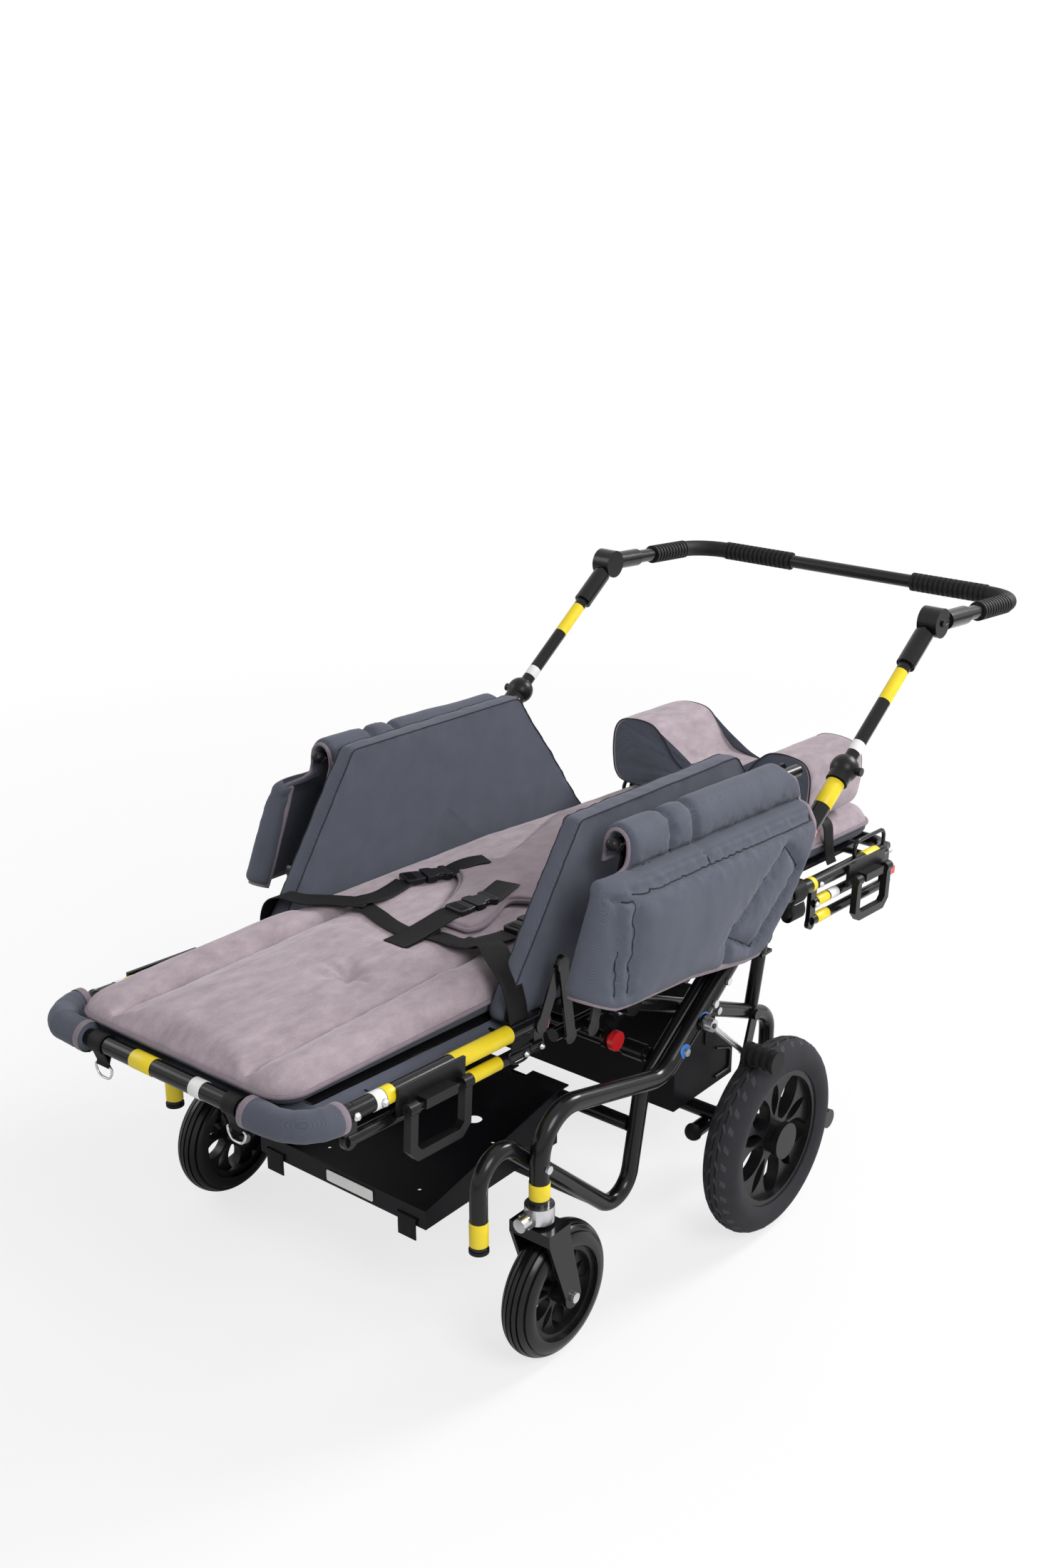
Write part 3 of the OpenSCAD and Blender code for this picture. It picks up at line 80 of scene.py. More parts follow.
BED_UP = (bed(0, 0, 1) - bed(0, 0, 0)).normalized()
BED_ALONG = (bed(0, 1, 0) - bed(0, 0, 0)).normalized()

# Camera, light and floor.
LENS, SENSOR = 41.88, 36
CAMERA_PLACE = (1.644, -2.1585, 1.633)
CAMERA_TURN = (math.radians(90 - 20.205), 0, math.radians(39.018))
LIGHT_TARGET = Vector((0, 0, 0.4))
# Name, place, size in metres and power in watts.
LIGHTS = (("key", (2.5, -1.2, 2.4), 1.6, 52),
          ("fill", (-2.6, -1.4, 2.2), 1.8, 24),
          ("rear", (1.2, 2.5, 2.4), 1.3, 92))
WORLD_LIGHT = 0.4
FLOOR_HALF = 40
FLOOR_DROP = -0.0005


def add_object(name, data):
    obj = bpy.data.objects.new(name, data)
    SCENE.collection.objects.link(obj)
    return obj


def make_camera():
    data = bpy.data.cameras.new("camera")
    data.lens, data.sensor_width, data.clip_end = LENS, SENSOR, 100
    camera = add_object("camera", data)
    camera.location = CAMERA_PLACE
    camera.rotation_euler = CAMERA_TURN
    SCENE.camera = camera


def make_lights():
    for name, place, size, power in LIGHTS:
        data = bpy.data.lights.new(name, "AREA")
        data.shape, data.size, data.energy = "DISK", size, power
        lamp = add_object(name, data)
        lamp.location = place
        lamp.rotation_euler = (LIGHT_TARGET - Vector(place)).to_track_quat("-Z", "Y").to_euler()


def empty_tree(owner):
    owner.use_nodes = True
    owner.node_tree.nodes.clear()
    return owner.node_tree


def node_of(tree, kind, **values):
    """A shader node with its properties and input values set."""
    n = tree.nodes.new(kind)
    for key, value in values.items():
        if hasattr(n, key):
            setattr(n, key, value)
        else:
            n.inputs[key.replace("_", " ")].default_value = value
    return n


def wire(tree, *links):
    """Connects sockets; each link is a node, its output, the next node and its input."""
    for a, output, b, entry in links:
        tree.links.new(a.outputs[output], b.inputs[entry])


def make_world():
    """White where it is seen, mirrored or looked through, and dimmer as light."""
    world = bpy.data.worlds.new("studio")
    SCENE.world = world
    tree = empty_tree(world)
    light = node_of(tree, "ShaderNodeBackground", Color=(1, 1, 1, 1), Strength=WORLD_LIGHT)
    seen = node_of(tree, "ShaderNodeBackground", Color=(1, 1, 1, 1), Strength=1.0)
    path = node_of(tree, "ShaderNodeLightPath")
    two = node_of(tree, "ShaderNodeMath", operation="MAXIMUM")
    three = node_of(tree, "ShaderNodeMath", operation="MAXIMUM")
    mix = node_of(tree, "ShaderNodeMixShader")
    out = node_of(tree, "ShaderNodeOutputWorld")
    wire(tree, (path, "Is Camera Ray", two, 0), (path, "Is Glossy Ray", two, 1), (two, 0, three, 0),
         (path, "Is Transmission Ray", three, 1), (three, 0, mix, 0), (light, 0, mix, 1), (seen, 0, mix, 2),
         (mix, 0, out, 0))


def make_floor():
    """A pale matte floor that fades to white away from the middle."""
    mesh = bpy.data.meshes.new("floor")
    r = FLOOR_HALF
    mesh.from_pydata([(-r, -r, 0), (r, -r, 0), (r, r, 0), (-r, r, 0)], [], [(0, 1, 2, 3)])
    floor = add_object("floor", mesh)
    floor.location.z = FLOOR_DROP
    mat = bpy.data.materials.new("floor_pale")
    tree = empty_tree(mat)
    out = node_of(tree, "ShaderNodeOutputMaterial")
    matte = node_of(tree, "ShaderNodeBsdfDiffuse", Color=(0.88, 0.88, 0.88, 1))
    glow = node_of(tree, "ShaderNodeEmission", Color=(1, 1, 1, 1), Strength=1.0)
    mix = node_of(tree, "ShaderNodeMixShader")
    path = node_of(tree, "ShaderNodeLightPath")
    place = node_of(tree, "ShaderNodeTexCoord")
    far = node_of(tree, "ShaderNodeVectorMath", operation="LENGTH")
    share = node_of(tree, "ShaderNodeMapRange", From_Min=0.9, From_Max=3.0, To_Min=0.74, To_Max=1.0)
    seen = node_of(tree, "ShaderNodeMath", operation="MULTIPLY")
    wire(tree, (place, "Object", far, 0), (far, "Value", share, "Value"), (share, 0, seen, 0),
         (path, "Is Camera Ray", seen, 1), (seen, 0, mix, 0), (matte, 0, mix, 1), (glow, 0, mix, 2), (mix, 0, out, 0))
    mesh.materials.append(mat)


make_camera()
make_world()
make_floor()
make_lights()
SCENE.view_settings.view_transform = "Standard"


# Materials.
GRAIN_SHARE = 0.4
WEAVE_SHADE = 0.3
WEAVE_BUMP = 0.5


def srgb(r, g, b):
    """A colour written as 0 to 255 screen values, in linear light."""
    def one(c):
        c /= 255
        return c / 12.92 if c <= 0.04045 else ((c + 0.055) / 1.055) ** 2.4
    return (one(r), one(g), one(b), 1)


def shade(colour, k):
    return tuple(min(1, c * k) for c in colour[:3]) + (1,)


def surface(name, colour, rough, spread, blotch, grain, bump, depth=0.0004, metal=0.0, stretch=(1, 1, 1),
            rough_spread=0.12, coat=0.0, sheen=0.0, specular=0.5, weave=0.0):
    """A procedural finish: blotches and grain in the colour, roughness that follows them, and a fine bump.
    weave is the pitch of a woven thread in metres, or 0."""
    mat = bpy.data.materials.new(name)
    tree = empty_tree(mat)
    out = node_of(tree, "ShaderNodeOutputMaterial")
    bsdf = node_of(tree, "ShaderNodeBsdfPrincipled", Metallic=metal, Specular_IOR_Level=specular, Coat_Weight=coat,
                   Coat_Roughness=0.12, Sheen_Weight=sheen, Sheen_Roughness=0.45)
    place = node_of(tree, "ShaderNodeTexCoord")
    mapping = node_of(tree, "ShaderNodeMapping", Scale=stretch)
    coarse = node_of(tree, "ShaderNodeTexNoise", Scale=blotch, Detail=5.0, Roughness=0.6)
    fine = node_of(tree, "ShaderNodeTexNoise", Scale=grain, Detail=2.0, Roughness=0.6)
    both = node_of(tree, "ShaderNodeMix", data_type="FLOAT")
    both.inputs[0].default_value = GRAIN_SHARE
    ramp = node_of(tree, "ShaderNodeValToRGB")
    dark_end, pale_end = ramp.color_ramp.elements
    dark_end.position, pale_end.position = 0.32, 0.68
    dark_end.color, pale_end.color = shade(colour, 1 - spread), shade(colour, 1 + spread)
    roughness = node_of(tree, "ShaderNodeMapRange", To_Min=max(0.02, rough - rough_spread),
                        To_Max=min(1, rough + rough_spread))
    wire(tree, (bsdf, 0, out, 0), (place, "Object", mapping, 0), (mapping, 0, coarse, "Vector"),
         (place, "Object", fine, "Vector"), (coarse, "Fac", both, 2), (fine, "Fac", both, 3), (both, 0, ramp, 0),
         (both, 0, roughness, "Value"), (roughness, 0, bsdf, "Roughness"))
    height, tint = (fine, "Fac"), (ramp, 0)
    if weave:
        cross = node_of(tree, "ShaderNodeMath", operation="MULTIPLY")
        for k, turn in enumerate((0, math.pi / 2)):
            spin = node_of(tree, "ShaderNodeMapping", Rotation=(0, 0, turn))
            wave = node_of(tree, "ShaderNodeTexWave", bands_direction="DIAGONAL", Scale=0.33 / weave)
            wire(tree, (place, "Object", spin, 0), (spin, 0, wave, "Vector"), (wave, "Fac", cross, k))
        woven = node_of(tree, "ShaderNodeMix", data_type="RGBA", blend_type="MULTIPLY")
        woven.inputs[0].default_value = WEAVE_SHADE
        wire(tree, (ramp, 0, woven, 6), (cross, 0, woven, 7))
        height, tint = (cross, 0), (woven, 2)
        bump *= WEAVE_BUMP
    rise = node_of(tree, "ShaderNodeBump", Strength=bump, Distance=depth)
    wire(tree, (*tint, bsdf, "Base Color"), (*height, rise, "Height"), (rise, 0, bsdf, "Normal"))
    return mat


NAP = (1.6, 0.7, 1)
# Name, colour, roughness, spread of the colour, scales of blotches and grain, strength of the bump.
VELOUR = surface("velour", srgb(164, 150, 157), 0.94, 0.26, 34, 900, 0.35, stretch=NAP, sheen=0.25, specular=0.12)
VEST = surface("velour_vest", srgb(136, 123, 129), 0.94, 0.2, 26, 900, 0.35, stretch=NAP, sheen=0.25, specular=0.12)
CLOTH = surface("cloth_dark", srgb(93, 97, 110), 0.8, 0.12, 20, 1500, 0.5, sheen=0.1, specular=0.2, weave=0.0011)
PIPING = surface("binding", srgb(148, 135, 145), 0.85, 0.12, 60, 1500, 0.4, sheen=0.15, specular=0.2, weave=0.0012)
WEBBING = surface("webbing", srgb(17, 17, 18), 0.62, 0.35, 90, 1400, 0.8, depth=0.0006, specular=0.2, weave=0.0018)
THREAD = surface("thread", srgb(46, 46, 55), 0.8, 0.2, 80, 1500, 0.4, specular=0.2)
FRAME = surface("frame_black", (0.006, 0.006, 0.007, 1), 0.2, 0.25, 30, 1300, 0.12, depth=0.0002, rough_spread=0.06,
                specular=0.3)
TRAY = surface("tray_black", (0.007, 0.007, 0.009, 1), 0.42, 0.25, 14, 1100, 0.25, depth=0.0003, specular=0.16)
ZINC = surface("zinc", (0.62, 0.62, 0.64, 1), 0.3, 0.12, 60, 900, 0.08, metal=1.0)
PLASTIC = surface("plastic_black", (0.008, 0.008, 0.009, 1), 0.34, 0.25, 40, 1200, 0.2, depth=0.0003, specular=0.22)
RUBBER = surface("rubber_black", (0.009, 0.009, 0.01, 1), 0.62, 0.3, 50, 900, 0.35, specular=0.2)
TYRE = surface("tyre_dark", srgb(46, 46, 50), 0.82, 0.25, 25, 700, 0.4, depth=0.0005, specular=0.2)
# The raised tread blocks are a paler grey than the tyre.
TREAD = surface("tread_pale_grey", srgb(68, 68, 72), 0.9, 0.3, 60, 700, 0.4, specular=0.15)
GLOSS = surface("tyre_gloss", (0.006, 0.006, 0.007, 1), 0.24, 0.3, 40, 800, 0.12, specular=0.3)
RED = surface("knob_red", srgb(200, 28, 34), 0.32, 0.08, 60, 900, 0.08, coat=0.3)
YELLOW = surface("band_yellow", srgb(238, 212, 30), 0.42, 0.05, 50, 700, 0.05)
WHITE = surface("band_white", srgb(232, 232, 230), 0.42, 0.03, 50, 700, 0.05)
BLUE = surface("band_blue", srgb(38, 108, 184), 0.42, 0.06, 50, 700, 0.05)
BRASS = surface("brass", (0.72, 0.52, 0.2, 1), 0.3, 0.1, 80, 900, 0.08, metal=1.0)

# The finish of each material slot.
FINISH = {
    "frame_black": FRAME, "tray_black": TRAY, "zinc": ZINC, "plastic_black": PLASTIC, "rubber_black": RUBBER,
    "tyre_dark": TYRE, "velour": VELOUR, "cloth_dark": CLOTH, "knob_red": RED,
}


def dress_frame():
    """Each CAD node takes the finish of the slot that the record gives it."""
    slot_of = {s["node"]: s["material_slot"] for s in frame["record"]["subparts"]}
    for name, obj in frame["nodes"].items():
        mat = GLOSS if name.startswith("caster_tyre") else FINISH[slot_of[name]]
        obj.data.materials.clear()
        obj.data.materials.append(mat)
        for face in obj.data.polygons:
            face.material_index = 0


# Mesh building.
STITCH_SIDES = 6
STRAP_EDGE = 0.0006
SIM_FRAMES = 20
SIM_STIFFNESS = 15.0


def mesh_object(name, verts, faces, mat, smooth=True):
    mesh = bpy.data.meshes.new(name)
    mesh.from_pydata([tuple(v) for v in verts], [], faces)
    mesh.validate()
    mesh.polygons.foreach_set("use_smooth", [smooth] * len(mesh.polygons))
    mesh.materials.append(mat)
    bm = bmesh.new()
    bm.from_mesh(mesh)
    bmesh.ops.recalc_face_normals(bm, faces=bm.faces)
    bm.to_mesh(mesh)
    bm.free()
    return add_object(name, mesh)


def subdivide(obj):
    soft = obj.modifiers.new("subdivision", "SUBSURF")
    soft.levels = soft.render_levels = 1
    return soft


def finish_piece(obj, body, replaces=(), finer=False):
    if finer:
        subdivide(obj)
    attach(obj, body)
    if replaces:
        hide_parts(*replaces)


def bridge(a, b, n):
    """Faces between two rings of n points, whose first points are a and b."""
    return [(a + k, a + (k + 1) % n, b + (k + 1) % n, b + k) for k in range(n)]


def skin(rings, n, closed=False):
    """Faces along a row of rings of n points; an open row is capped at both ends."""
    starts = [i * n for i in range(rings)]
    faces = []
    for a, b in zip(starts, starts[1:] + (starts[:1] if closed else [])):
        faces += bridge(a, b, n)
    if not closed:
        faces += [tuple(range(n)), tuple(range(starts[-1], starts[-1] + n))]
    return faces


def round_points(n):
    """Cosine and sine of n even steps round a circle."""
    return [(math.cos(2 * math.pi * k / n), math.sin(2 * math.pi * k / n)) for k in range(n)]


def curve_points(points, per=8, closed=False):
    """A smooth path through the points, each a tuple of equal length."""
    p = [np.array(q, float) for q in points]
    n = len(p)
    out = []
    for i in range(n if closed else n - 1):
        if closed:
            a, b, c, d = (p[(i + k) % n] for k in (-1, 0, 1, 2))
        else:
            a, b, c, d = p[max(i - 1, 0)], p[i], p[i + 1], p[min(i + 2, n - 1)]
        for k in range(per):
            t = k / per
            out.append(0.5 * (2 * b + (c - a) * t + (2 * a - 5 * b + 4 * c - d) * t * t
                              + (3 * b - a - 3 * c + d) * t ** 3))
    if not closed:
        out.append(p[-1])
    return out


def tube(name, path, radius, mat, sides=10, closed=False):
    """A round tube along a path of row frame points; radius is a number or one per point."""
    pts = [Vector(p) for p in path]
    n = len(pts)
    radii = [radius] * n if isinstance(radius, (int, float)) else list(radius)
    verts = []
    side = None
    for i, p in enumerate(pts):
        a = pts[(i - 1) % n] if closed or i else p
        b = pts[(i + 1) % n] if closed or i < n - 1 else p
        t = (b - a).normalized()
        side = t.orthogonal() if side is None else side - t * side.dot(t)
        side.normalize()
        up = t.cross(side)
        verts += [p + (side * c + up * s) * radii[i] for c, s in round_points(sides)]
    return mesh_object(name, verts, skin(n, sides, closed), mat)


def thread(name, path, radius=0.0011, closed=False):
    return tube(name, path, radius, THREAD, STITCH_SIDES, closed)


def strap(name, path, width, thick=0.0022):
    """A flat woven strap; path holds (point, outward direction) pairs of the row frame."""
    pts = curve_points([tuple(p) + tuple(n) for p, n in path], 10)
    half = width / 2
    low = [(-half, -0.3), (-half + STRAP_EDGE, -0.5), (-half * 0.5, -0.5), (0, -0.5), (half * 0.5, -0.5),
           (half - STRAP_EDGE, -0.5), (half, -0.3)]
    section = low + [(x, -z) for x, z in reversed(low)]
    verts = []
    for i, q in enumerate(pts):
        p, up = Vector(q[:3]), Vector(q[3:]).normalized()
        a, b = Vector(pts[max(i - 1, 0)][:3]), Vector(pts[min(i + 1, len(pts) - 1)][:3])
        t = (b - a).normalized()
        side = t.cross(up).normalized()
        up = side.cross(t)
        verts += [p + side * x + up * (z * thick) for x, z in section]
    return mesh_object(name, verts, skin(len(pts), len(section)), WEBBING)


def lathe(name, centre, axis, profile, mat, steps=48):
    """A turned form: profile holds (radius, height) pairs in millimetres along the axis."""
    z = Vector(axis).normalized()
    x = z.orthogonal().normalized()
    y = z.cross(x)
    verts = [Vector(centre) + (x * c + y * s) * max(r, 0.01) / 1000 + z * h / 1000
             for r, h in profile for c, s in round_points(steps)]
    return mesh_object(name, verts, skin(len(profile), steps), mat)


def swell(obj, pins, pressure, cap):
    """Blows the closed mesh up with cloth under inner pressure; pinned points stay, others move at most cap."""
    group = obj.vertex_groups.new(name="pin")
    group.add(sorted({int(i) for i in pins}), 1.0, "REPLACE")
    cloth = obj.modifiers.new("cloth", "CLOTH")
    s = cloth.settings
    s.vertex_group_mass = "pin"
    s.use_pressure = True
    s.uniform_pressure_force = pressure
    s.effector_weights.gravity = 0
    s.tension_stiffness = s.compression_stiffness = SIM_STIFFNESS
    s.bending_stiffness = 0.5
    s.quality = 5
    cloth.point_cache.frame_start = 1
    cloth.point_cache.frame_end = SIM_FRAMES
    start = np.array([v.co for v in obj.data.vertices])
    for f in range(1, SIM_FRAMES + 1):
        SCENE.frame_set(f)
    shape = obj.evaluated_get(bpy.context.evaluated_depsgraph_get()).data
    moved = np.array([v.co for v in shape.vertices]) - start
    far = np.linalg.norm(moved, axis=1)
    moved *= (np.minimum(far, cap) / np.maximum(far, 1e-9))[:, None]
    obj.modifiers.remove(cloth)
    obj.vertex_groups.remove(group)
    SCENE.frame_set(1)
    obj.data.vertices.foreach_set("co", (start + moved).astype(np.float32).ravel())
    obj.data.update()


def wrinkle(p, scale, amount):
    """A smooth random height at a point, the same on every run."""
    return amount * noise.fractal(Vector(p) * scale, 0.8, 2.0, 3)


def shell(name, top, low, nu, nv, mat):
    """A closed skin over two grids of points with nu + 1 by nv + 1 points each; the rims are shared."""
    verts, faces, low_id = list(top), [], {}
    k = lambda i, j: i * (nv + 1) + j
    for i in range(nu + 1):
        for j in range(nv + 1):
            if i in (0, nu) or j in (0, nv):
                low_id[i, j] = k(i, j)
            else:
                low_id[i, j] = len(verts)
                verts.append(low[k(i, j)])
    for i in range(nu):
        for j in range(nv):
            faces.append((k(i, j), k(i + 1, j), k(i + 1, j + 1), k(i, j + 1)))
            faces.append((low_id[i, j], low_id[i, j + 1], low_id[i + 1, j + 1], low_id[i + 1, j]))
    return mesh_object(name, verts, faces, mat), low_id


def rim_of(obj, nu, nv):
    """The points along the rim of a shell, in order."""
    loop = [(i, 0) for i in range(nu + 1)] + [(nu, j) for j in range(1, nv + 1)]
    loop += [(i, nv) for i in range(nu - 1, -1, -1)] + [(0, j) for j in range(nv - 1, 0, -1)]
    return [obj.data.vertices[i * (nv + 1) + j] for i, j in loop]


def spread_steps(n, even):
    """Steps from 0 to 1, closer together at the ends."""
    return [even * i / n + (1 - even) * (1 - math.cos(math.pi * i / n)) / 2 for i in range(n + 1)]


def shoulder(d, reach):
    """0 at an edge, 1 from reach inward, with a round shoulder between."""
    e = min(1.0, max(0.0, d / reach))
    return (1 - (1 - e) ** 2.4) ** (1 / 2.4)


def line_distance(p, line):
    """Distance from a point to a broken line, both in a plane."""
    best = 1e9
    p = np.array(p, float)
    for a, b in zip(line, line[1:]):
        a, d = np.array(a, float), np.array(b, float) - np.array(a, float)
        t = min(1.0, max(0.0, float((p - a) @ d / max(d @ d, 1e-9))))
        best = min(best, float(np.linalg.norm(p - a - d * t)))
    return best


# The lying pad: velour over a dark base, sewn in one piece and cut where it rides wholly on the seat.
PAD_HALF = 200.0
PAD_ENDS = (-588.0, 888.0)
PAD_LOW = 6.6
PAD_CUT = 60.0
PAD_EDGE = 46
SEAM_X = 128.0
SEAM_ENDS = (-578.0, -128.0)
TUFT = (43.0, -314.0)
CORNER = 42.0
BOLSTER_REAR = -205
BINDING_R = 0.0034


def pad_top(v):
    return float(np.interp(v, (-588, -122, 220, 888), (44, 70, 78.5, 73)))


def on_pad(x, v, lift):
    return bed(x, v, pad_top(v) + lift)


def round_corner(x, v):
    """Rounds the plan of the pad at its four corners."""
    dx = abs(x) - (PAD_HALF - CORNER)
    near = v - PAD_ENDS[0] < PAD_ENDS[1] - v
    dv = PAD_ENDS[0] + CORNER - v if near else v - (PAD_ENDS[1] - CORNER)
    if dx <= 0 or dv <= 0:
        return x, v
    a, b = dx / CORNER, dv / CORNER
    a, b = a * math.sqrt(1 - b * b / 2), b * math.sqrt(1 - a * a / 2)
    x = math.copysign(PAD_HALF - CORNER + a * CORNER, x)
    v = PAD_ENDS[0] + CORNER - b * CORNER if near else PAD_ENDS[1] - CORNER + b * CORNER
    return x, v


def sewn_line(x, v, depth, reach):
    """How far the two sewn lines of the leg part draw the pad in."""
    run = shoulder(v - SEAM_ENDS[0], 16) * shoulder(SEAM_ENDS[1] - v, 30)
    return depth * run * math.exp(-abs(abs(x) - SEAM_X) / reach)


def tuft_depth(x, v):
    d = math.hypot(x - TUFT[0], v - TUFT[1])
    g = math.atan2(v - TUFT[1], x - TUFT[0])
    folds = 2.6 * math.exp(-((d - 27) / 17) ** 2) * math.cos(6 * g + 0.9 * math.sin(2 * g))
    return 13 * math.exp(-(d / 12) ** 1.4) + 13 * math.exp(-(d / 38) ** 1.7) + folds


def bolster(x, v):
    """How far the sewn channels of the leg part stand up after the sewing."""
    run = shoulder(v - PAD_ENDS[0], 70) * shoulder(BOLSTER_REAR - v, 70)
    d = abs(x)
    if d > SEAM_X:
        return 9.0 * run * math.sin(math.pi * (d - SEAM_X) / (PAD_HALF - SEAM_X)) ** 0.7
    return 7.5 * run * (1 - (d / SEAM_X) ** 4)


def pad_lines():
    """Grid lines across and along the pad, closer together at the edges, the sewn lines and the tuft."""
    inner = [0, 10, 19, 26, 31, 35.5, 39.5, 43, 46.5, 50.5, 55, 60, 67, 76, 88, 100, 110, 118, 122.4, 125, 126.8,
             128, 129.2, 131, 133.6, 140, 150, 161, 172, 181, 188, 193.5, 197.5, 200]
    ends = [0, 2, 6, 12, 19, 27, 36]
    span = PAD_ENDS[1] - PAD_ENDS[0]
    tuft = TUFT[1] - PAD_ENDS[0]
    middle = list(np.arange(46, tuft - 42, 9.3)) + list(np.arange(tuft - 38, tuft + 40, 4.0))
    middle += list(np.arange(tuft + 46, span - 40, 9.3))
    vs = [PAD_ENDS[0] + e for e in ends + middle] + [PAD_ENDS[1] - e for e in reversed(ends)]
    return [-x for x in reversed(inner[1:])] + inner, vs


def cut_pad(pad, name, front, row, cut):
    """The part of the pad before or behind the cut, closed there with a flat face."""
    bm = bmesh.new()
    bm.from_mesh(pad.data)
    gone = [f for f in bm.faces if all(row[v.index] >= cut for v in f.verts) == front]
    bmesh.ops.delete(bm, geom=gone, context="FACES")
    cap = bmesh.ops.holes_fill(bm, edges=[e for e in bm.edges if e.is_boundary], sides=0)["faces"]
    for f in cap:
        f.smooth = False
        f.material_index = 1
        for e in f.edges:
            e.smooth = False
    mesh = bpy.data.meshes.new(name)
    bm.to_mesh(mesh)
    bm.free()
    for m in pad.data.materials:
        mesh.materials.append(m)
    return add_object(name, mesh)


def make_pad():
    xs, vs = pad_lines()
    nearest = lambda at: int(np.argmin([abs(v - at) for v in vs]))
    nu, nv = len(xs) - 1, len(vs) - 1
    top, low, pinned = [], [], []
    for i, x0 in enumerate(xs):
        for j, v0 in enumerate(vs):
            x, v = round_corner(x0, v0)
            edge = (shoulder(PAD_HALF - abs(x0), PAD_EDGE)
                    * (shoulder(v0 - PAD_ENDS[0], PAD_EDGE) * shoulder(PAD_ENDS[1] - v0, PAD_EDGE)))
            rim = PAD_LOW + 0.4 * (pad_top(v) - PAD_LOW)
            sewn = sewn_line(x, v, 8.5, 6)
            top.append(bed(x, v, rim + max(0.5 * edge, (pad_top(v) - 5 - rim) * edge - sewn)))
            low.append(bed(x, v, rim - (rim - PAD_LOW) * min(1, 1.25 * edge)))
            at_seam = abs(abs(x) - SEAM_X) < 0.6 and sewn > 4
            if at_seam or i in (0, nu) or j in (0, nv):
                pinned.append(i * (nv + 1) + j)
    pad, low_id = shell("lying_pad", top, low, nu, nv, VELOUR)
    pad.data.materials.append(CLOTH)
    count = (nu + 1) * (nv + 1)
    for face in pad.data.polygons:
        face.material_index = int(max(face.vertices) >= count)
    swell(pad, pinned + list(low_id.values()), pressure=5.0, cap=0.0055)
    for v in pad.data.vertices[:count]:
        i, j = divmod(v.index, nv + 1)
        if 0 < i < nu and 0 < j < nv:
            x, along = xs[i], vs[j]
            pucker = math.exp(-abs(abs(x) - SEAM_X) / 16) if along < SEAM_ENDS[1] else 0
            lift = bolster(x, along) - sewn_line(x, along, 6.0, 3.2) - tuft_depth(x, along)
            v.co += BED_UP * (lift / 1000 + wrinkle(v.co, 16, 0.0012) + pucker * wrinkle(v.co, 60, 0.0016))
    rim = [v.co.copy() for v in rim_of(pad, nu, nv)]
    place = lambda i, j: pad.data.vertices[i * (nv + 1) + j].co.copy()
    sewn_rows = [j for j in range(nv + 1) if SEAM_ENDS[0] + 4 < vs[j] < SEAM_ENDS[1] - 8]
    sewn = [[place(xs.index(x), j) for j in sewn_rows] for x in (-SEAM_X, SEAM_X)]
    low_point = place(xs.index(TUFT[0]), nearest(TUFT[1]))
    cut = nearest(PAD_CUT)
    row = {i * (nv + 1) + j: j for i in range(nu + 1) for j in range(nv + 1)}
    row.update({k: j for (_, j), k in low_id.items()})
    legs, body = cut_pad(pad, "pad_legs", True, row, cut), cut_pad(pad, "pad_body", False, row, cut)
    bpy.data.objects.remove(pad)
    cut_y = bed(0, vs[cut], 60).y + 1e-6
    start = next(k for k in range(len(rim)) if rim[k - 1].y > cut_y >= rim[k].y)
    ring = rim[start:] + rim[:start]
    split = sum(p.y <= cut_y for p in rim)
    front_edge = ring[:split]
    rear_edge = [front_edge[-1]] + ring[split:] + [front_edge[0]]
    legs_edge = tube("pad_legs_binding", front_edge, BINDING_R, PIPING)
    body_edge = tube("pad_body_binding", rear_edge, BINDING_R, PIPING)
    for obj, nodes in ((legs, ("leg_pad", "seat_pad")), (body, ("back_pad",))):
        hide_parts(*nodes)
    threads = [thread("pad_seam_" + side, line, 0.0016) for side, line in zip(("right", "left"), sewn)]
    for obj in [legs, legs_edge] + threads:
        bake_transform(obj)
    for obj in (body, body_edge):
        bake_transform(obj)
    dome = [(0, 2.4), (2, 2.2), (3.6, 1.4), (4.2, 0.2), (4, -1)]
    finish_piece(lathe("tuft_button", low_point, BED_UP, dome, YELLOW, 20), "leg_section")


# Side cushions: boxed foam slabs with a sewn band round the edge, outlined along and up the bed.
CUSHION = [(-215, 8), (572, 8), (347, 272), (-52, 264)]
CUSHION_CORNERS = (14, 14, 18, 16)
CUSHION_MIDDLE = np.array([170.0, 128.0])
CUSHION_X = (203.6, 231.0)
CUSHION_LOW = 7.0
# The back sweeps past inside and outside, so the cushions keep between these, in metres.
CUSHION_ROOM = (0.2022, 0.2314)
CUSHION_RINGS = [1.0, 0.988, 0.965, 0.935, 0.89, 0.83, 0.75, 0.65, 0.54, 0.42, 0.3, 0.18, 0.08]
CUSHION_BAND = [0.12, 0.3, 0.5, 0.7, 0.88]


def calm(obj, ids, times):
    """Evens out the chosen points sideways, so that the rings of the mesh don't show as creases."""
    bm = bmesh.new()
    bm.from_mesh(obj.data)
    bm.verts.ensure_lookup_table()
    chosen = [bm.verts[i] for i in ids]
    for _ in range(times):
        bmesh.ops.smooth_vert(bm, verts=chosen, factor=0.5, use_axis_x=True, use_axis_y=False, use_axis_z=False)
    bm.to_mesh(obj.data)
    bm.free()
    obj.data.update()


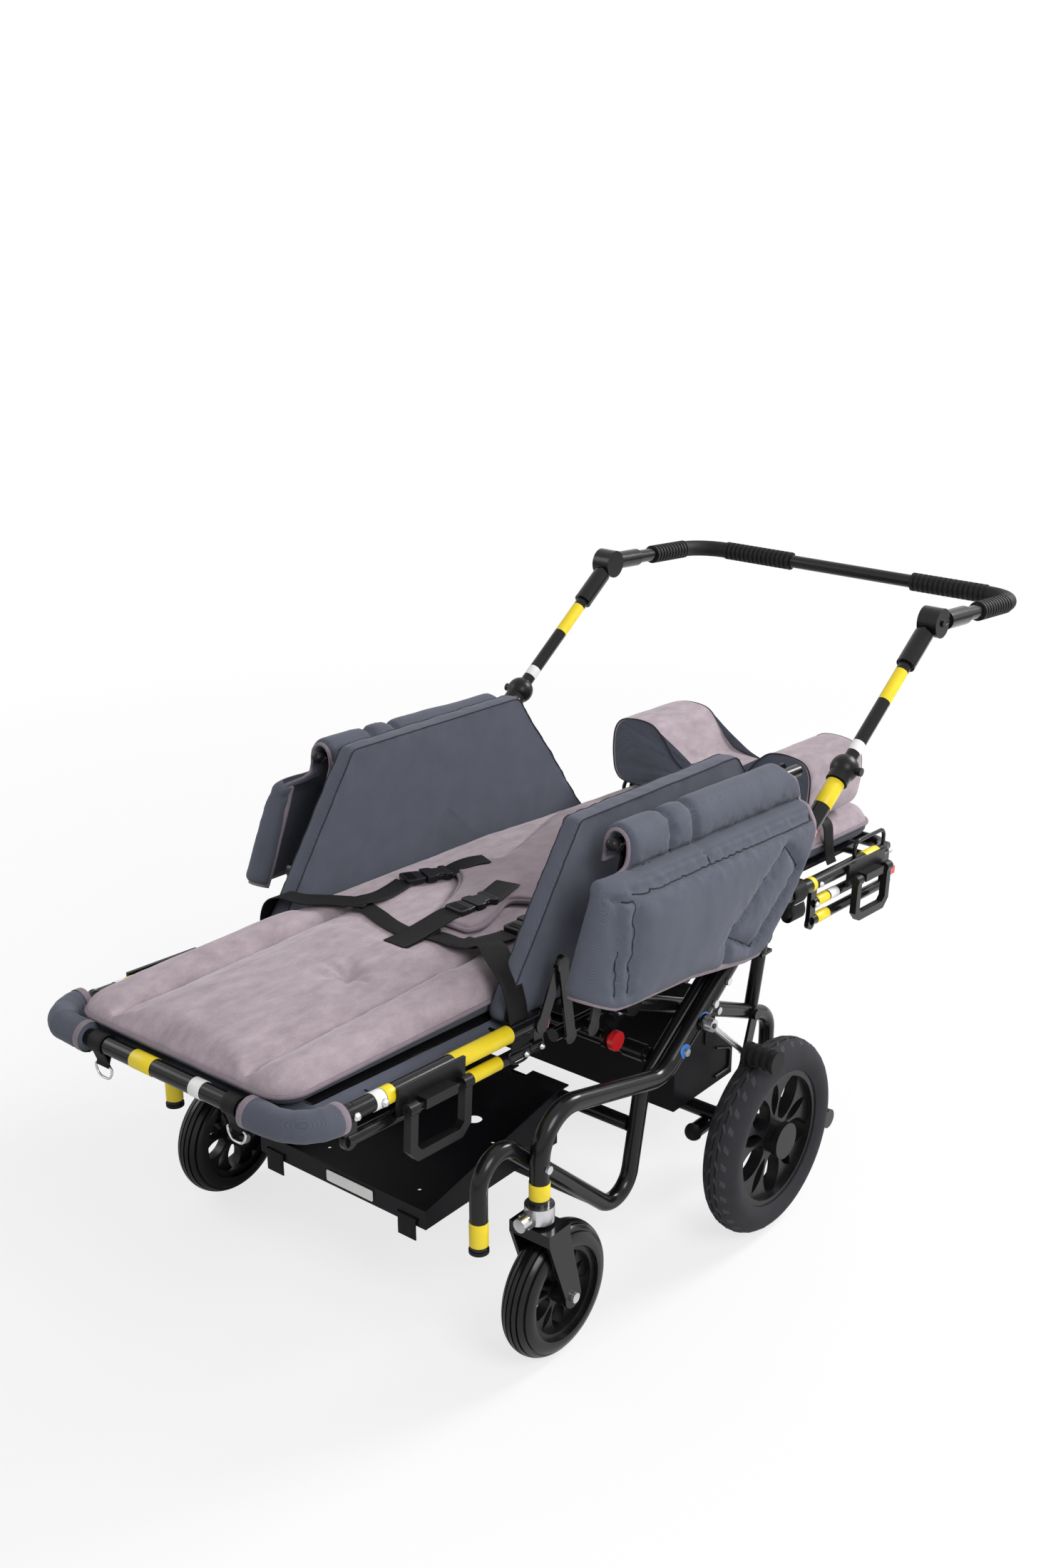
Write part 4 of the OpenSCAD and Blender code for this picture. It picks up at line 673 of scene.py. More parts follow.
def rounded_outline(corners, radii, step):
    """Evenly spaced points along a polygon whose corners are rounded."""
    n = len(corners)
    path = []
    for i, c in enumerate(corners):
        p, a, b = np.array(c, float), np.array(corners[i - 1], float), np.array(corners[(i + 1) % n], float)
        u, w = (a - p) / np.linalg.norm(a - p), (b - p) / np.linalg.norm(b - p)
        cut = radii[i] / math.tan(math.acos(max(-1, min(1, float(u @ w)))) / 2)
        for t in np.linspace(0, 1, 9):
            path.append((1 - t) ** 2 * (p + u * cut) + 2 * t * (1 - t) * p + t * t * (p + w * cut))
    path = np.array(path + [path[0]])
    run = np.concatenate([[0], np.cumsum(np.linalg.norm(np.diff(path, axis=0), axis=1))])
    at = np.linspace(0, run[-1], int(round(run[-1] / step)), endpoint=False)
    return np.stack([np.interp(at, run, path[:, k]) for k in (0, 1)], 1)


def raised(w, sign):
    """The far cushion stands a little higher, as in the photograph."""
    return w + (8.0 * max(0.0, w - 60) / 204 if sign < 0 else 0.0)


def make_cushions():
    outline = rounded_outline(CUSHION, CUSHION_CORNERS, 8.0)
    n, m = len(outline), len(CUSHION_RINGS)
    count = n * m
    inner, outer = CUSHION_X
    for sign, name in SIDES:
        def ring(x, k):
            flat = CUSHION_MIDDLE + (outline - CUSHION_MIDDLE) * k
            return [bed(sign * x, v, max(CUSHION_LOW, raised(w, sign))) for v, w in flat]
        verts, faces, pins = [], [], []
        for x0, bulge in ((inner, -2.2), (outer, 1.6)):
            base = len(verts)
            for k, r in enumerate(CUSHION_RINGS):
                verts += ring(x0 + bulge * (1 - r ** 6), r - (0.004 if k == 0 else 0))
            for k in range(m - 1):
                faces += bridge(base + k * n, base + (k + 1) * n, n)
            faces.append(tuple(range(base + (m - 1) * n, base + count)))
            pins += range(base, base + n)
        loops = [0]
        for t in CUSHION_BAND:
            loops.append(len(verts))
            verts += ring(inner + (outer - inner) * t, 1 + 0.012 * math.sin(math.pi * t))
        for a, b in zip(loops, loops[1:] + [count]):
            faces += bridge(a, b, n)
        obj = mesh_object("side_cushion_" + name, verts, faces, CLOTH)
        pins += [i for i, v in enumerate(obj.data.vertices) if v.co.z < bed(0, 200, 20).z - 0.02]
        swell(obj, pins, pressure=3.0, cap=0.004)
        calm(obj, [v for v in range(2 * count) if v % count // n > 1], 30)
        normals = [v.normal.copy() for v in obj.data.vertices]
        for v, d in zip(obj.data.vertices, normals):
            k = v.index % count // n if v.index < 2 * count else 0
            near = math.exp(-(1 - CUSHION_RINGS[k]) * 14)
            v.co += d * (wrinkle(v.co, 9, 0.0012) + near * wrinkle(v.co, 55, 0.0018))
            v.co.x = sign * min(max(abs(v.co.x), CUSHION_ROOM[0]), CUSHION_ROOM[1])
        for side in (0, 1):
            seam = [v.co.copy() for v in obj.data.vertices[side * count:side * count + n]]
            finish_piece(thread(f"cushion_seam_{name}_{side}", seam, closed=True), "seat")
        finish_piece(obj, "seat", ("side_cushions",) if sign > 0 else (), finer=True)


# Headrest: a hollowed block with velour over the top and dark end faces; half its section, across and up.
HEAD_V = (629.0, 805.0)
HEAD_LINE = [(0, 121), (46, 126), (74, 144), (96, 172), (118, 192), (140, 198), (168, 197.5), (192, 191),
             (204, 174), (207, 148), (205, 118), (198, 92), (178, 78.5), (120, 77.4), (60, 77.2)]
HEAD_LOW = 77.0
HEAD_MIDDLE = np.array([0.0, 118.0])
# The rounded ends: distance in from the end and share of the section; then the rings of the end faces.
HEAD_ENDS = [(2.4, 0.955), (0.6, 0.975), (0, 0.99), (1.2, 1.0), (5, 1.004)]
HEAD_CAPS = [0.9, 0.8, 0.66, 0.5, 0.33, 0.16]


def make_headrest():
    half = curve_points(HEAD_LINE, 5)
    section = np.array([(-x, w) for x, w in reversed(half[1:])] + [(x, w) for x, w in half] + [(0, 77.2)])
    n, caps = len(section), len(HEAD_CAPS)
    v0, v1 = HEAD_V
    end, k_end = HEAD_ENDS[0]
    domed = [(end - 3.2 * (1 - k ** 3), k * k_end) for k in HEAD_CAPS]
    rows = [(v0 + d, k) for d, k in domed[::-1] + HEAD_ENDS]
    rows += [(v, 1.004 + 0.01 * math.sin(math.pi * (v - v0) / (v1 - v0))) for v in np.linspace(v0 + 14, v1 - 14, 17)]
    rows += [(v1 - d, k) for d, k in HEAD_ENDS[::-1] + domed]
    verts = []
    for v, k in rows:
        verts += [bed(x, v, max(HEAD_LOW, w)) for x, w in HEAD_MIDDLE + (section - HEAD_MIDDLE) * k]
    obj = mesh_object("headrest_block", verts, skin(len(rows), n), VELOUR)
    obj.data.materials.append(CLOTH)
    for face in obj.data.polygons:
        face.material_index = int(not caps < face.index // n < len(rows) - caps - 2)
    first, last = caps + 2, len(rows) - caps - 3
    pins = {r * n + i for r in (first, last) for i in range(n)}
    pins |= {v.index for v in obj.data.vertices if (v.co - bed(0, 717, 79)).dot(BED_UP) < 0}
    swell(obj, pins, pressure=3.0, cap=0.004)
    for v in obj.data.vertices:
        if v.index not in pins:
            v.co += v.normal * wrinkle(v.co, 12, 0.0012)
    for r, place in ((first, "front"), (last, "rear")):
        seam = [v.co.copy() for v in obj.data.vertices[r * n:(r + 1) * n]]
        finish_piece(thread("headrest_seam_" + place, seam, 0.0013, closed=True), "headrest")
    finish_piece(obj, "headrest", ("headrest",), finer=True)


# Side panels: quilted cloth rolled over the arm bar, bound along its edges. The line runs across and up.
PANEL_LINE = [(267, 212), (266.8, 224), (267.4, 238), (270.6, 249), (277, 256.2), (285, 258.6), (293, 256),
              (299, 250), (301.5, 241), (302.6, 226), (303.6, 208), (306, 203), (314, 201.5), (325, 198), (334, 192),
              (340, 187), (347, 180), (351.5, 170), (353, 150), (353.4, 120), (353, 90), (352.6, 60), (352, 36)]
# The front and rear edges, height and place along; the hem and the seams, place along and height.
PANEL_FRONT = [(260, -40), (226, -40), (212, -44), (205, -64), (203, -112), (186, -117), (120, -138), (36, -162)]
PANEL_REAR = [(260, 372), (250, 384), (241, 402), (226, 411), (206, 417), (190, 403), (172, 388), (150, 374),
              (112, 342), (60, 278), (8, 207)]
PANEL_HEM = [(-165, 57), (-117, 37), (57, 30), (206, 9)]
PANEL_SEAMS = [
    [(-44, 206), (424, 204)],
    [(-70, 190), (412, 190)],
    [(-104, 186), (-121, 58)],
    [(-104, 186), (-78, 184), (-98, 58)],
    [(300, 168), (336, 129), (218, 32), (151, 66), (300, 168)],
    [(151, 66), (146, 24)],
    [(60, 206), (60, 262)],
    [(116, 190), (116, 262)],
]
PANEL_THICK = 14.0
PANEL_FALL = (170, 36)
# The front edge of the flap turns in: share of the reach, place along it and share of the way out.
PANEL_REACH = 0.22
PANEL_TURN = [(0, 0.24, -0.06), (0.1, 0.11, 0), (0.2, 0.04, 0.1), (0.32, 0.02, 0.32), (0.45, 0.1, 0.58),
              (0.6, 0.29, 0.82), (0.8, 0.63, 0.96), (1, 1, 1)]
# Outer side of the roll round the bar, how far the far flap is pulled in, and the room that the back leaves.
PANEL_BAR = 302.0
PANEL_PULL = 0.45
PANEL_ROOM = 0.2625
ARM_BAR = (284, 241)
ARM_KNOB = [(6, -40), (6, 0), (6.4, 3), (8.4, 6), (9.6, 10), (9.8, 14), (9, 18), (6.6, 21.4), (3, 23), (0, 23.4)]


def panel_grid(sign):
    """Rows down the panel, columns from front to rear; the far flap hangs closer in at its front."""
    path = curve_points(PANEL_LINE, 4)
    run = np.concatenate([[0], np.cumsum([np.linalg.norm(b - a) for a, b in zip(path, path[1:])])])
    rows = np.concatenate([np.linspace(0, 104, 19), np.linspace(108, 170, 15), np.linspace(176, run[-1], 21)])
    line = np.stack([np.interp(rows, run, [p[k] for p in path]) for k in (0, 1)], 1)
    front_w, front_v = zip(*reversed(PANEL_FRONT))
    rear_w, rear_v = zip(*reversed(PANEL_REAR))
    hem_v, hem_w = zip(*PANEL_HEM)
    turn_t, turn_v, turn_x = zip(*curve_points(PANEL_TURN, 6))
    high, low = PANEL_FALL
    grid = []
    for s in spread_steps(62, 0.85):
        grid.append([])
        for x, w in line:
            first, last = np.interp(w, front_w, front_v), np.interp(w, rear_w, rear_v)
            v = float(first * (1 - s) + last * s)
            t = min(1.0, s / PANEL_REACH)
            proud = min(1.0, max(0.0, (x - PANEL_BAR) / 24))
            turned = first + float(np.interp(t, turn_t, turn_v)) * PANEL_REACH * (last - first)
            if t < 1:
                v += (turned - v) * proud * proud * (3 - 2 * proud)
            fall = max(0.0, min(1.0, (high - w) / (high - low)))
            hem = float(np.interp(v, hem_v, hem_w))
            pull = PANEL_PULL * max(0.0, 1 - s / 0.5) ** 2 if sign < 0 else 0.0
            share = float(np.interp(t, turn_t, turn_x)) * (1 - pull)
            grid[-1].append((x - max(0.0, x - PANEL_BAR) * (1 - share), v, w + fall * (hem - low)))
    return np.array(grid)


def seam_distance(v, w):
    return min(line_distance((v, w), seam) for seam in PANEL_SEAMS)


def make_panels():
    for sign, name in SIDES:
        grid = panel_grid(sign)
        nu, nv = grid.shape[0] - 1, grid.shape[1] - 1
        outer, inner, pins = [], [], []
        for i in range(nu + 1):
            for j in range(nv + 1):
                p = grid[i, j]
                du = grid[min(i + 1, nu), j] - grid[max(i - 1, 0), j]
                dv = grid[i, min(j + 1, nv)] - grid[i, max(j - 1, 0)]
                normal = np.cross(dv, du)
                normal /= max(np.linalg.norm(normal), 1e-9)
                d = seam_distance(p[1], p[2])
                if d < 3.0:
                    pins.append(len(outer))
                rim = shoulder(min(i, nu - i, j, nv - j), 2.2)
                thick = PANEL_THICK * (0.2 + 0.8 * rim) * (1 - 0.74 * math.exp(-d / 5))
                thick += 2.4 * rim * (1 - math.exp(-d / 18))
                for side, share in ((outer, 0.68), (inner, -0.32)):
                    x, v, w = p + normal * thick * share
                    side.append(bed(sign * x, v, w))
        obj, low_id = shell("side_panel_" + name, outer, inner, nu, nv, CLOTH)
        swell(obj, pins + list(low_id.values()), pressure=5.0, cap=0.006)
        rim = [(v.co.copy(), v.normal.copy()) for v in rim_of(obj, nu, nv)]
        finish_piece(bound_edge("side_panel_binding_" + name, rim, 0.0105, 0.0056), "seat")
        shown = quilt(obj, sign)
        finish_piece(obj, "seat", ("side_panels",) if sign > 0 else ())
        stitch_lines("side_panel_stitch_" + name, obj, shown)
        end = bed(sign * ARM_BAR[0], -34, ARM_BAR[1])
        finish_piece(lathe("arm_knob_" + name, end, -BED_ALONG, ARM_KNOB, PLASTIC, 28), "seat")


def quilt(obj, sign):
    """Refines the swelled panel and draws its seams in; gives the outer points as (index, along, height)."""
    soft = subdivide(obj)
    fine = bpy.data.meshes.new_from_object(obj.evaluated_get(bpy.context.evaluated_depsgraph_get()))
    obj.modifiers.remove(soft)
    obj.data = fine
    shown = []
    normals = [v.normal.copy() for v in fine.vertices]
    for v, n in zip(fine.vertices, normals):
        x, along, w = off_bed(v.co)
        side, up = n.x * sign, n.dot(BED_UP)
        if not (side > 0.15 if w < 204 else side * (abs(x) - ARM_BAR[0]) + up * (w - ARM_BAR[1]) > 0):
            continue
        shown.append((v.index, along, w))
        d = seam_distance(along, w)
        drawn = 0.0065 * math.exp(-d / 4.2)
        gathers = math.exp(-d / 15) * (1 - math.exp(-d / 3))
        v.co += n * (wrinkle(v.co, 10, 0.0014) + gathers * wrinkle(v.co, 75, 0.0034) - drawn)
    for v in fine.vertices:
        v.co.x = sign * max(abs(v.co.x), PANEL_ROOM)
    fine.update()
    return shown


def bound_edge(name, path, width, thick):
    """A folded binding along a closed rim of (point, direction) pairs."""
    n, sides = len(path), 10
    squarer = lambda c: math.copysign(abs(c) ** 0.6, c)
    verts = []
    for i, (p, out) in enumerate(path):
        t = (path[(i + 1) % n][0] - path[i - 1][0]).normalized()
        out = (out - t * out.dot(t)).normalized()
        face = t.cross(out).normalized()
        verts += [p + out * (squarer(c) * width * 0.42 - width * 0.28) + face * (squarer(s) * thick * 0.5)
                  for c, s in round_points(sides)]
    return mesh_object(name, verts, skin(n, sides, closed=True), PIPING)


def stitch_lines(name, obj, shown):
    """Sewn thread along the seams of a panel, laid on its outer face."""
    ids, along, height = (np.array(k) for k in zip(*shown))
    for k, seam in enumerate(PANEL_SEAMS):
        path = []
        for a, b in zip(seam, seam[1:]):
            steps = max(2, int(math.dist(a, b) / 6))
            path += [(a[0] + (b[0] - a[0]) * t / steps, a[1] + (b[1] - a[1]) * t / steps) for t in range(steps)]
        laid = []
        for v, w in path + [seam[-1]]:
            d = np.hypot(along - v, height - w)
            order = np.argsort(d)[:3]
            weight = 1 / np.maximum(d[order], 0.05)
            co = Vector()
            for i, g in zip(order, weight):
                co += obj.data.vertices[int(ids[i])].co * float(g)
            laid.append(co / float(weight.sum()))
        finish_piece(thread(f"{name}_{k}", laid, 0.0012), "seat")


# Harness: a velour vest with piped edges, webbing and buckles. The edges run along and across the bed.
VEST_FAR = [(-117, 32), (-110, 22), (-80, 6), (-47, -6), (-10, -24), (25, -48), (52, -84), (66, -93), (90, -92),
            (108, -74), (126, -57), (160, -60), (211, -73), (290, -100), (376, -130), (430, -124), (476, -100)]
VEST_NEAR = [(-117, 84), (-110, 90), (-86, 93), (-40, 78), (-6, 64), (14, 68), (34, 96), (56, 120), (80, 126),
             (100, 118), (124, 88), (160, 88), (211, 100), (290, 126), (376, 152), (430, 148), (476, 124)]
VEST_ENDS = (-117, 476)


def make_vest():
    far_v, far_x = zip(*curve_points(VEST_FAR, 3))
    near_v, near_x = zip(*curve_points(VEST_NEAR, 3))
    vs = np.concatenate([[-117, -115.5, -112, -107], np.linspace(-100, 460, 76), [466, 471, 474.5, 476]])
    nu, nv = 22, len(vs) - 1
    top, low = [], []
    for s in spread_steps(nu, 0.6):
        for v in vs:
            a, b = float(np.interp(v, far_v, far_x)), float(np.interp(v, near_v, near_x))
            x = a + (b - a) * s
            rim = min(shoulder(min(x - a, b - x), 11), shoulder(min(v - VEST_ENDS[0], VEST_ENDS[1] - v), 9))
            fold = 1.6 * math.sin(x / 23 + v / 31) * math.exp(-((v - 40) / 60) ** 2)
            top.append(on_pad(x, v, 7.7 + (8.0 + fold) * rim))
            low.append(on_pad(x, v, 6.2 - 4.6 * rim))
    obj, _ = shell("harness_vest", top, low, nu, nv, VEST)
    for v in obj.data.vertices[:(nu + 1) * (nv + 1)]:
        i, j = divmod(v.index, nv + 1)
        if 0 < i < nu and 0 < j < nv:
            v.co += BED_UP * wrinkle(v.co, 22, 0.0014)
    piping = tube("harness_piping", [v.co.copy() for v in rim_of(obj, nu, nv)], 0.0036, PIPING, closed=True)
    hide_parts("harness_pad", "chest_pad")
    for piece in (obj, piping):
        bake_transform(piece)


def rectangle(a, b):
    return [(-a, -b), (a, -b), (a, b), (-a, b)]


def plate_form(name, centre, along, up, outline, thick, mat, edge=0.0008):
    """A flat moulding: an outline in millimetres, along and across, given a thickness and broken edges."""
    y = Vector(along).normalized()
    z = (Vector(up) - y * Vector(up).dot(y)).normalized()
    x = y.cross(z)
    verts = [Vector(centre) + (y * a + x * b + z * h) / 1000 for h in (-thick / 2, thick / 2) for a, b in outline]
    obj = mesh_object(name, verts, skin(2, len(outline)), mat, smooth=False)
    bevel = obj.modifiers.new("bevel", "BEVEL")
    bevel.width = edge
    bevel.segments = 3
    bevel.limit_method = "ANGLE"
    return obj


BUCKLE_SOCKET = [(-2, -19), (6, -20), (14, -19), (17, -14), (26, -13), (31, -19), (38, -19), (41, -16), (41, 16),
                 (38, 19), (31, 19), (26, 13), (17, 14), (14, 19), (6, 20), (-2, 19)]
BUCKLE_TONGUE = [(-4, -16), (-4, 16), (-20, 19), (-33, 19), (-36, 16), (-36, -16), (-33, -19), (-20, -19)]
BUCKLE_PRONG = [(-6, 10), (10, 12), (20, 16.5), (25, 15), (25, 12.4), (18, 11.6), (10, 8), (-6, 6)]


def buckle(name, centre, along):
    """A side release buckle on the pad: a socket with open flanks, a tongue with two prongs and its ribs."""
    y = along.normalized()
    z = (BED_UP - y * BED_UP.dot(y)).normalized()
    # Name, place along and up in millimetres, outline, thickness, material and edge.
    forms = [("socket", 0, 0, BUCKLE_SOCKET, 10.5, PLASTIC, 0.0016),
             ("tongue", 0, -0.6, BUCKLE_TONGUE, 8.5, PLASTIC, 0.0014)]
    for k, s in enumerate((1, -1)):
        forms.append((f"prong_{k}", 0, 0, [(a, b * s) for a, b in BUCKLE_PRONG], 5.0, PLASTIC, 0.0008))
    for k in range(5):
        forms.append((f"rib_{k}", -29 + k * 2.6, 4.2, rectangle(0.6, 13), 1.4, PLASTIC, 0.0003))
    forms.append(("window", 34, 5.1, rectangle(2, 14), 0.8, RUBBER, 0.0002))
    for part, a, h, outline, thick, mat, edge in forms:
        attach(plate_form(f"{name}_{part}", centre + (y * a + z * h) / 1000, y, z, outline, thick, mat, edge), "seat")


def ring_of(name, centre, across, width, height, wire_width, mat):
    """A D-shaped wire ring of the leg part, hanging from its straight bar."""
    x, z = Vector(across).normalized(), Vector((0, 0, -1))
    half = [(width / 2, 0), (width / 2, height * 0.5), (width * 0.3, height * 0.92)]
    pts = [(-width / 2, 0), (0, 0)] + half + [(0, height)] + [(-a, b) for a, b in reversed(half[1:])]
    path = [centre + (x * float(a) + z * float(b)) / 1000 for a, b in curve_points(pts, 5, closed=True)]
    finish_piece(tube(name, path, wire_width / 2000, mat, sides=8, closed=True), "leg_section")


# Straps over the pad: width, then points across, along and above it, with a share of leaning out.
KNEE_STRAPS = {
    "strap_near": (0.040, [(100, -146, 6), (128, -146, 8)]),
    "strap_far": (0.040, [(-92, -132, 6), (-120, -142, 4), (-150, -160, 4), (-178, -182, 5)]),
    "strap_far_link": (0.034, [(-128, -152, 3), (-104, -128, 7), (-100, -96, 5), (-106, -60, 4), (-110, -34, 6)]),
    "strap_cross": (0.032, [(-100, -138, 3), (-64, -148, 3), (-22, -162, 3), (16, -168, 4), (46, -158, 5)]),
    "strap_middle": (0.040, [(32, -212, 5), (33, -190, 5), (34, -150, 8), (38, -112, 15), (41, -96, 17.6)]),
    "strap_middle_fold": (0.040, [(32, -212, 2), (33, -190, 2.4), (34, -160, 3), (36, -136, 7)]),
    "strap_near_link": (0.034, [(34, -156, 3), (66, -150, 3), (98, -152, 5, 0.2), (122, -146, 8), (132, -118, 7),
                                (135, -92, 5), (136, -80, 5)]),
}
SEAT_STRAPS = {
    "strap_far_tail": (0.034, [(-82, 32, 7), (-78, 52, 14), (-70, 76, 18), (-60, 100, 18)]),
    "strap_middle_tail": (0.040, [(48, -28, 18), (44, -8, 18), (36, 22, 18.4), (30, 44, 18.4)]),
    "strap_near_tail": (0.034, [(134, -4, 6), (130, 18, 9), (118, 46, 17.6), (106, 70, 18.2)]),
}
# How two of them go on beside the pad: working frame points, then shares of the directions up and out.
STRAP_DROPS = {
    "strap_near": [(158, -148, 549, 1, 0), (182, -162, 548, 1, 0), (204, -176, 541, 0.9, 0.3),
                   (225, -184, 527, 0.6, 0.7), (237, -187, 503, 0.15, 1), (243, -188, 477, 0, 1),
                   (251, -194, 448, -0.1, 1), (253, -197, 436, 0, 1)],
    "strap_far": [(-206, -190, 537, 0.9, -0.3), (-226, -191, 525, 0.6, -0.7), (-238, -190, 503, 0.15, -1),
                  (-243, -189, 477, 0, -1), (-251, -194, 448, -0.1, -1), (-253, -197, 436, 0, -1)],
}
# Buckles: middle across, along and above the pad, then the bed points that the buckle points from and to.
BUCKLES = {
    "buckle_far": ((-100, 0, 8), (-112, -34, 78), (-82, 32, 80)),
    "buckle_middle": ((46, -62, 20), (40, -98, 78), (48, -28, 80)),
    "buckle_near": ((136, -40, 8), (136, -80, 78), (133, 0, 80)),
}


def make_straps():
    out = Vector((1, 0, 0))
    for name, (width, points) in {**KNEE_STRAPS, **SEAT_STRAPS}.items():
        path = [(on_pad(*p[:3]), BED_UP + out * sum(p[3:])) for p in points]
        path += [(work(*p[:3]), BED_UP * p[3] + out * p[4]) for p in STRAP_DROPS.get(name, ())]
        web = strap(name, path, width)
        if name in KNEE_STRAPS:
            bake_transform(web)
        else:
            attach(web, "seat")
    for name, (middle, start, end) in BUCKLES.items():
        buckle(name, on_pad(*middle), bed(*end) - bed(*start))
    for s, name in SIDES:
        ring_of("strap_ring_" + name, work(s * 253, -197, 438), BED_ALONG, 44, 20, 4, PLASTIC)


# Marks and trim on the tubes. Bands: from, to, height, tube radius and colour, along the rails of the bed.
RAIL_X = 245
LEG_BANDS = ((-332, -214, 0, 12, YELLOW), (-318, -232, -36, 9, YELLOW), (-482, -464, 0, 12, WHITE),
             (-463, -446, 0, 12, YELLOW))
BACK_BANDS = ((764, 812, 0, 12, YELLOW), (580, 592, 0, 12, YELLOW), (608, 644, -36, 9, YELLOW),
              (648, 676, -36, 9, WHITE), (610, 650, -68, 9, YELLOW), (818, 832, -36, 9, YELLOW))
# Bands along the rising tubes: from, to, tube radius, colour, body, and the room under and over the band.
RISE = math.radians(34.85)
RISE_X, RISE_R = 330, 14
BAND_ROOM = (0.12, 0.7)
SLIDE_ROOM = (0.005, 0.04)
RISE_BANDS = {
    "rise_band_": (456, 496, RISE_R, YELLOW, "chassis", BAND_ROOM),
    "lock_band_": (404, 420, RISE_R, RED, "chassis", BAND_ROOM),
    "slide_band_low_": (548, 564, 11, WHITE, "handle_slide", SLIDE_ROOM),
    "slide_band_high_": (638, 692, 11, YELLOW, "handle_slide", SLIDE_ROOM),
}


def band(name, a, b, radius, mat, body, room=BAND_ROOM):
    """A thin coloured ring round a tube of that radius in millimetres, from a to b."""
    z = (b - a).normalized()
    x = z.orthogonal().normalized()
    y = z.cross(x)
    length = (b - a).length
    r0, r1 = ((radius + r) / 1000 for r in room)
    edge = (r1 - r0) / 3
    profile = [(r0, 0), (r1 - edge, 0), (r1, 0.0003), (r1, length - 0.0003), (r1 - edge, length), (r0, length)]
    steps = 96
    verts = [a + (x * c + y * s) * r + z * h for c, s in round_points(steps) for r, h in profile]
    finish_piece(mesh_object(name, verts, skin(steps, len(profile), closed=True), mat), body)


def on_rise(x, y):
    return work(x, y, 321 + (y - 33) * math.tan(RISE))


def make_bands():
    for s, name in SIDES:
        for kind, body, bands in (("leg", "leg_section", LEG_BANDS), ("back", "back", BACK_BANDS)):
            for k, (v0, v1, w, r, mat) in enumerate(bands):
                band(f"{kind}_band_{name}_{k}", bed(s * RAIL_X, v0, w), bed(s * RAIL_X, v1, w), r, mat, body)
        x = s * RISE_X
        for kind, (y0, y1, r, mat, body, room) in RISE_BANDS.items():
            band(kind + name, on_rise(x, y0), on_rise(x, y1), r, mat, body, room)
        pin = lathe("lock_pin_" + name, on_rise(x, 411) + Vector((s * 0.0142, 0, 0)), (s, 0, 0),
                    [(3.4, -1), (3.4, 1.2), (2.6, 2.2), (0, 2.5)], BRASS, 20)
        finish_piece(pin, "chassis")
        band("post_band_" + name, work(x, -250, 262), work(x, -250, 286), 14, YELLOW, "chassis")
        step = s * 303.2
        band("step_band_" + name, work(step, -345, 226), work(step, -345, 262), 12.5, YELLOW, "chassis")
        for k, y in enumerate((74, 122)):
            finish_piece(tube_patch(f"rise_mark_{name}_{k}", on_rise(x, y), s, 11.5), "chassis")
    band("foot_band_yellow", bed(-60, -600, 0), bed(-20, -600, 0), 12, YELLOW, "leg_section")
    band("foot_band_white", bed(54, -600, 0), bed(74, -600, 0), 12, WHITE, "leg_section")


def tube_patch(name, centre, s, radius):
    """A round coloured mark laid on the flank of the rising tube."""
    along = Vector((0, math.cos(RISE), math.sin(RISE)))
    out = Vector((s, 0, 0))
    up = out.cross(along).normalized()
    shares = [0.2, 0.4, 0.6, 0.8, 1.0]
    rings = [(k, 0.0002) for k in shares] + [(k, 0.0006) for k in reversed(shares)]
    steps = 32
    verts = []
    for k, lift in rings:
        for c, t in round_points(steps):
            turn = radius * k * t / RISE_R
            p = centre + out * 0.0001 + along * (radius * k * c) / 1000
            verts.append(p + (out * math.cos(turn) + up * math.sin(turn)) * (RISE_R / 1000 + lift))
    return mesh_object(name, verts, skin(len(rings), steps), BLUE)


# Padded sleeves round the corners of the foot bar, with their webbing loops.
FOOT_V = -600
FOOT_TURN = (189, -544, 56)
SLEEVE_R = 0.0204
LOOP_R = 0.0135


def make_foot_sleeves():
    turn_x, turn_v, turn_r = FOOT_TURN
    path = [(153, FOOT_V), (172, FOOT_V), (189, FOOT_V)]
    path += [(turn_x + turn_r * math.sin(a), turn_v - turn_r * math.cos(a))
             for a in np.linspace(0.12, math.pi / 2 - 0.12, 14)]
    path += [(RAIL_X, -544), (RAIL_X, -540), (RAIL_X, -538)]
    for s, name in SIDES:
        pts = [bed(s * x, v, 0) for x, v in curve_points(path, 3)]
        radii = [SLEEVE_R + wrinkle(p, 40, 0.0012) for p in pts]
        sleeve = tube("foot_sleeve_" + name, pts, radii, CLOTH, sides=28)
        finish_piece(sleeve, "leg_section", ("foot_sleeves",) if s > 0 else ())
        for end, a, b in (("inner", pts[0], pts[2]), ("outer", pts[-1], pts[-3])):
            d = (b - a).normalized()
            band(f"foot_binding_{end}_{name}", a - d * 0.001, a + d * 0.009, 20.6, PIPING, "leg_section")
        middle = bed(s * turn_x, turn_v, 0)
        seam = [p - BED_UP * 0.0206 + (p - middle).normalized() * 0.002 for p in pts]
        finish_piece(thread("foot_seam_" + name, seam, 0.0013), "leg_section")
        hang = bed(s * 128, FOOT_V, 0)
        drop, gap = hang - Vector((0, 0, 0.034)), Vector((0, 0.002, 0))
        turns = np.linspace(0.5 - math.pi / 2, 1.5 * math.pi - 0.5, 13)
        round_bar = [Vector((0, math.cos(a), math.sin(a))) for a in turns]
        loop = [(drop - gap, Vector((0, 1, 0)))] + [(hang + d * LOOP_R, d) for d in round_bar]
        loop.append((drop + gap, Vector((0, -1, 0))))
        finish_piece(strap("foot_loop_" + name, loop, 0.025, thick=0.002), "leg_section")
        ring_of("foot_ring_" + name, drop, (1, 0, 0), 30, 18, 3.4, ZINC)


# Dark cloth of the base, slung between the leg part's board and its rails: half width, foot end and corner.
SKIRT_IN = (202.5, -541.5, 4.0)
SKIRT_OUT = (229.5, -586.5, 41.0)
SKIRT_REAR = -186.0


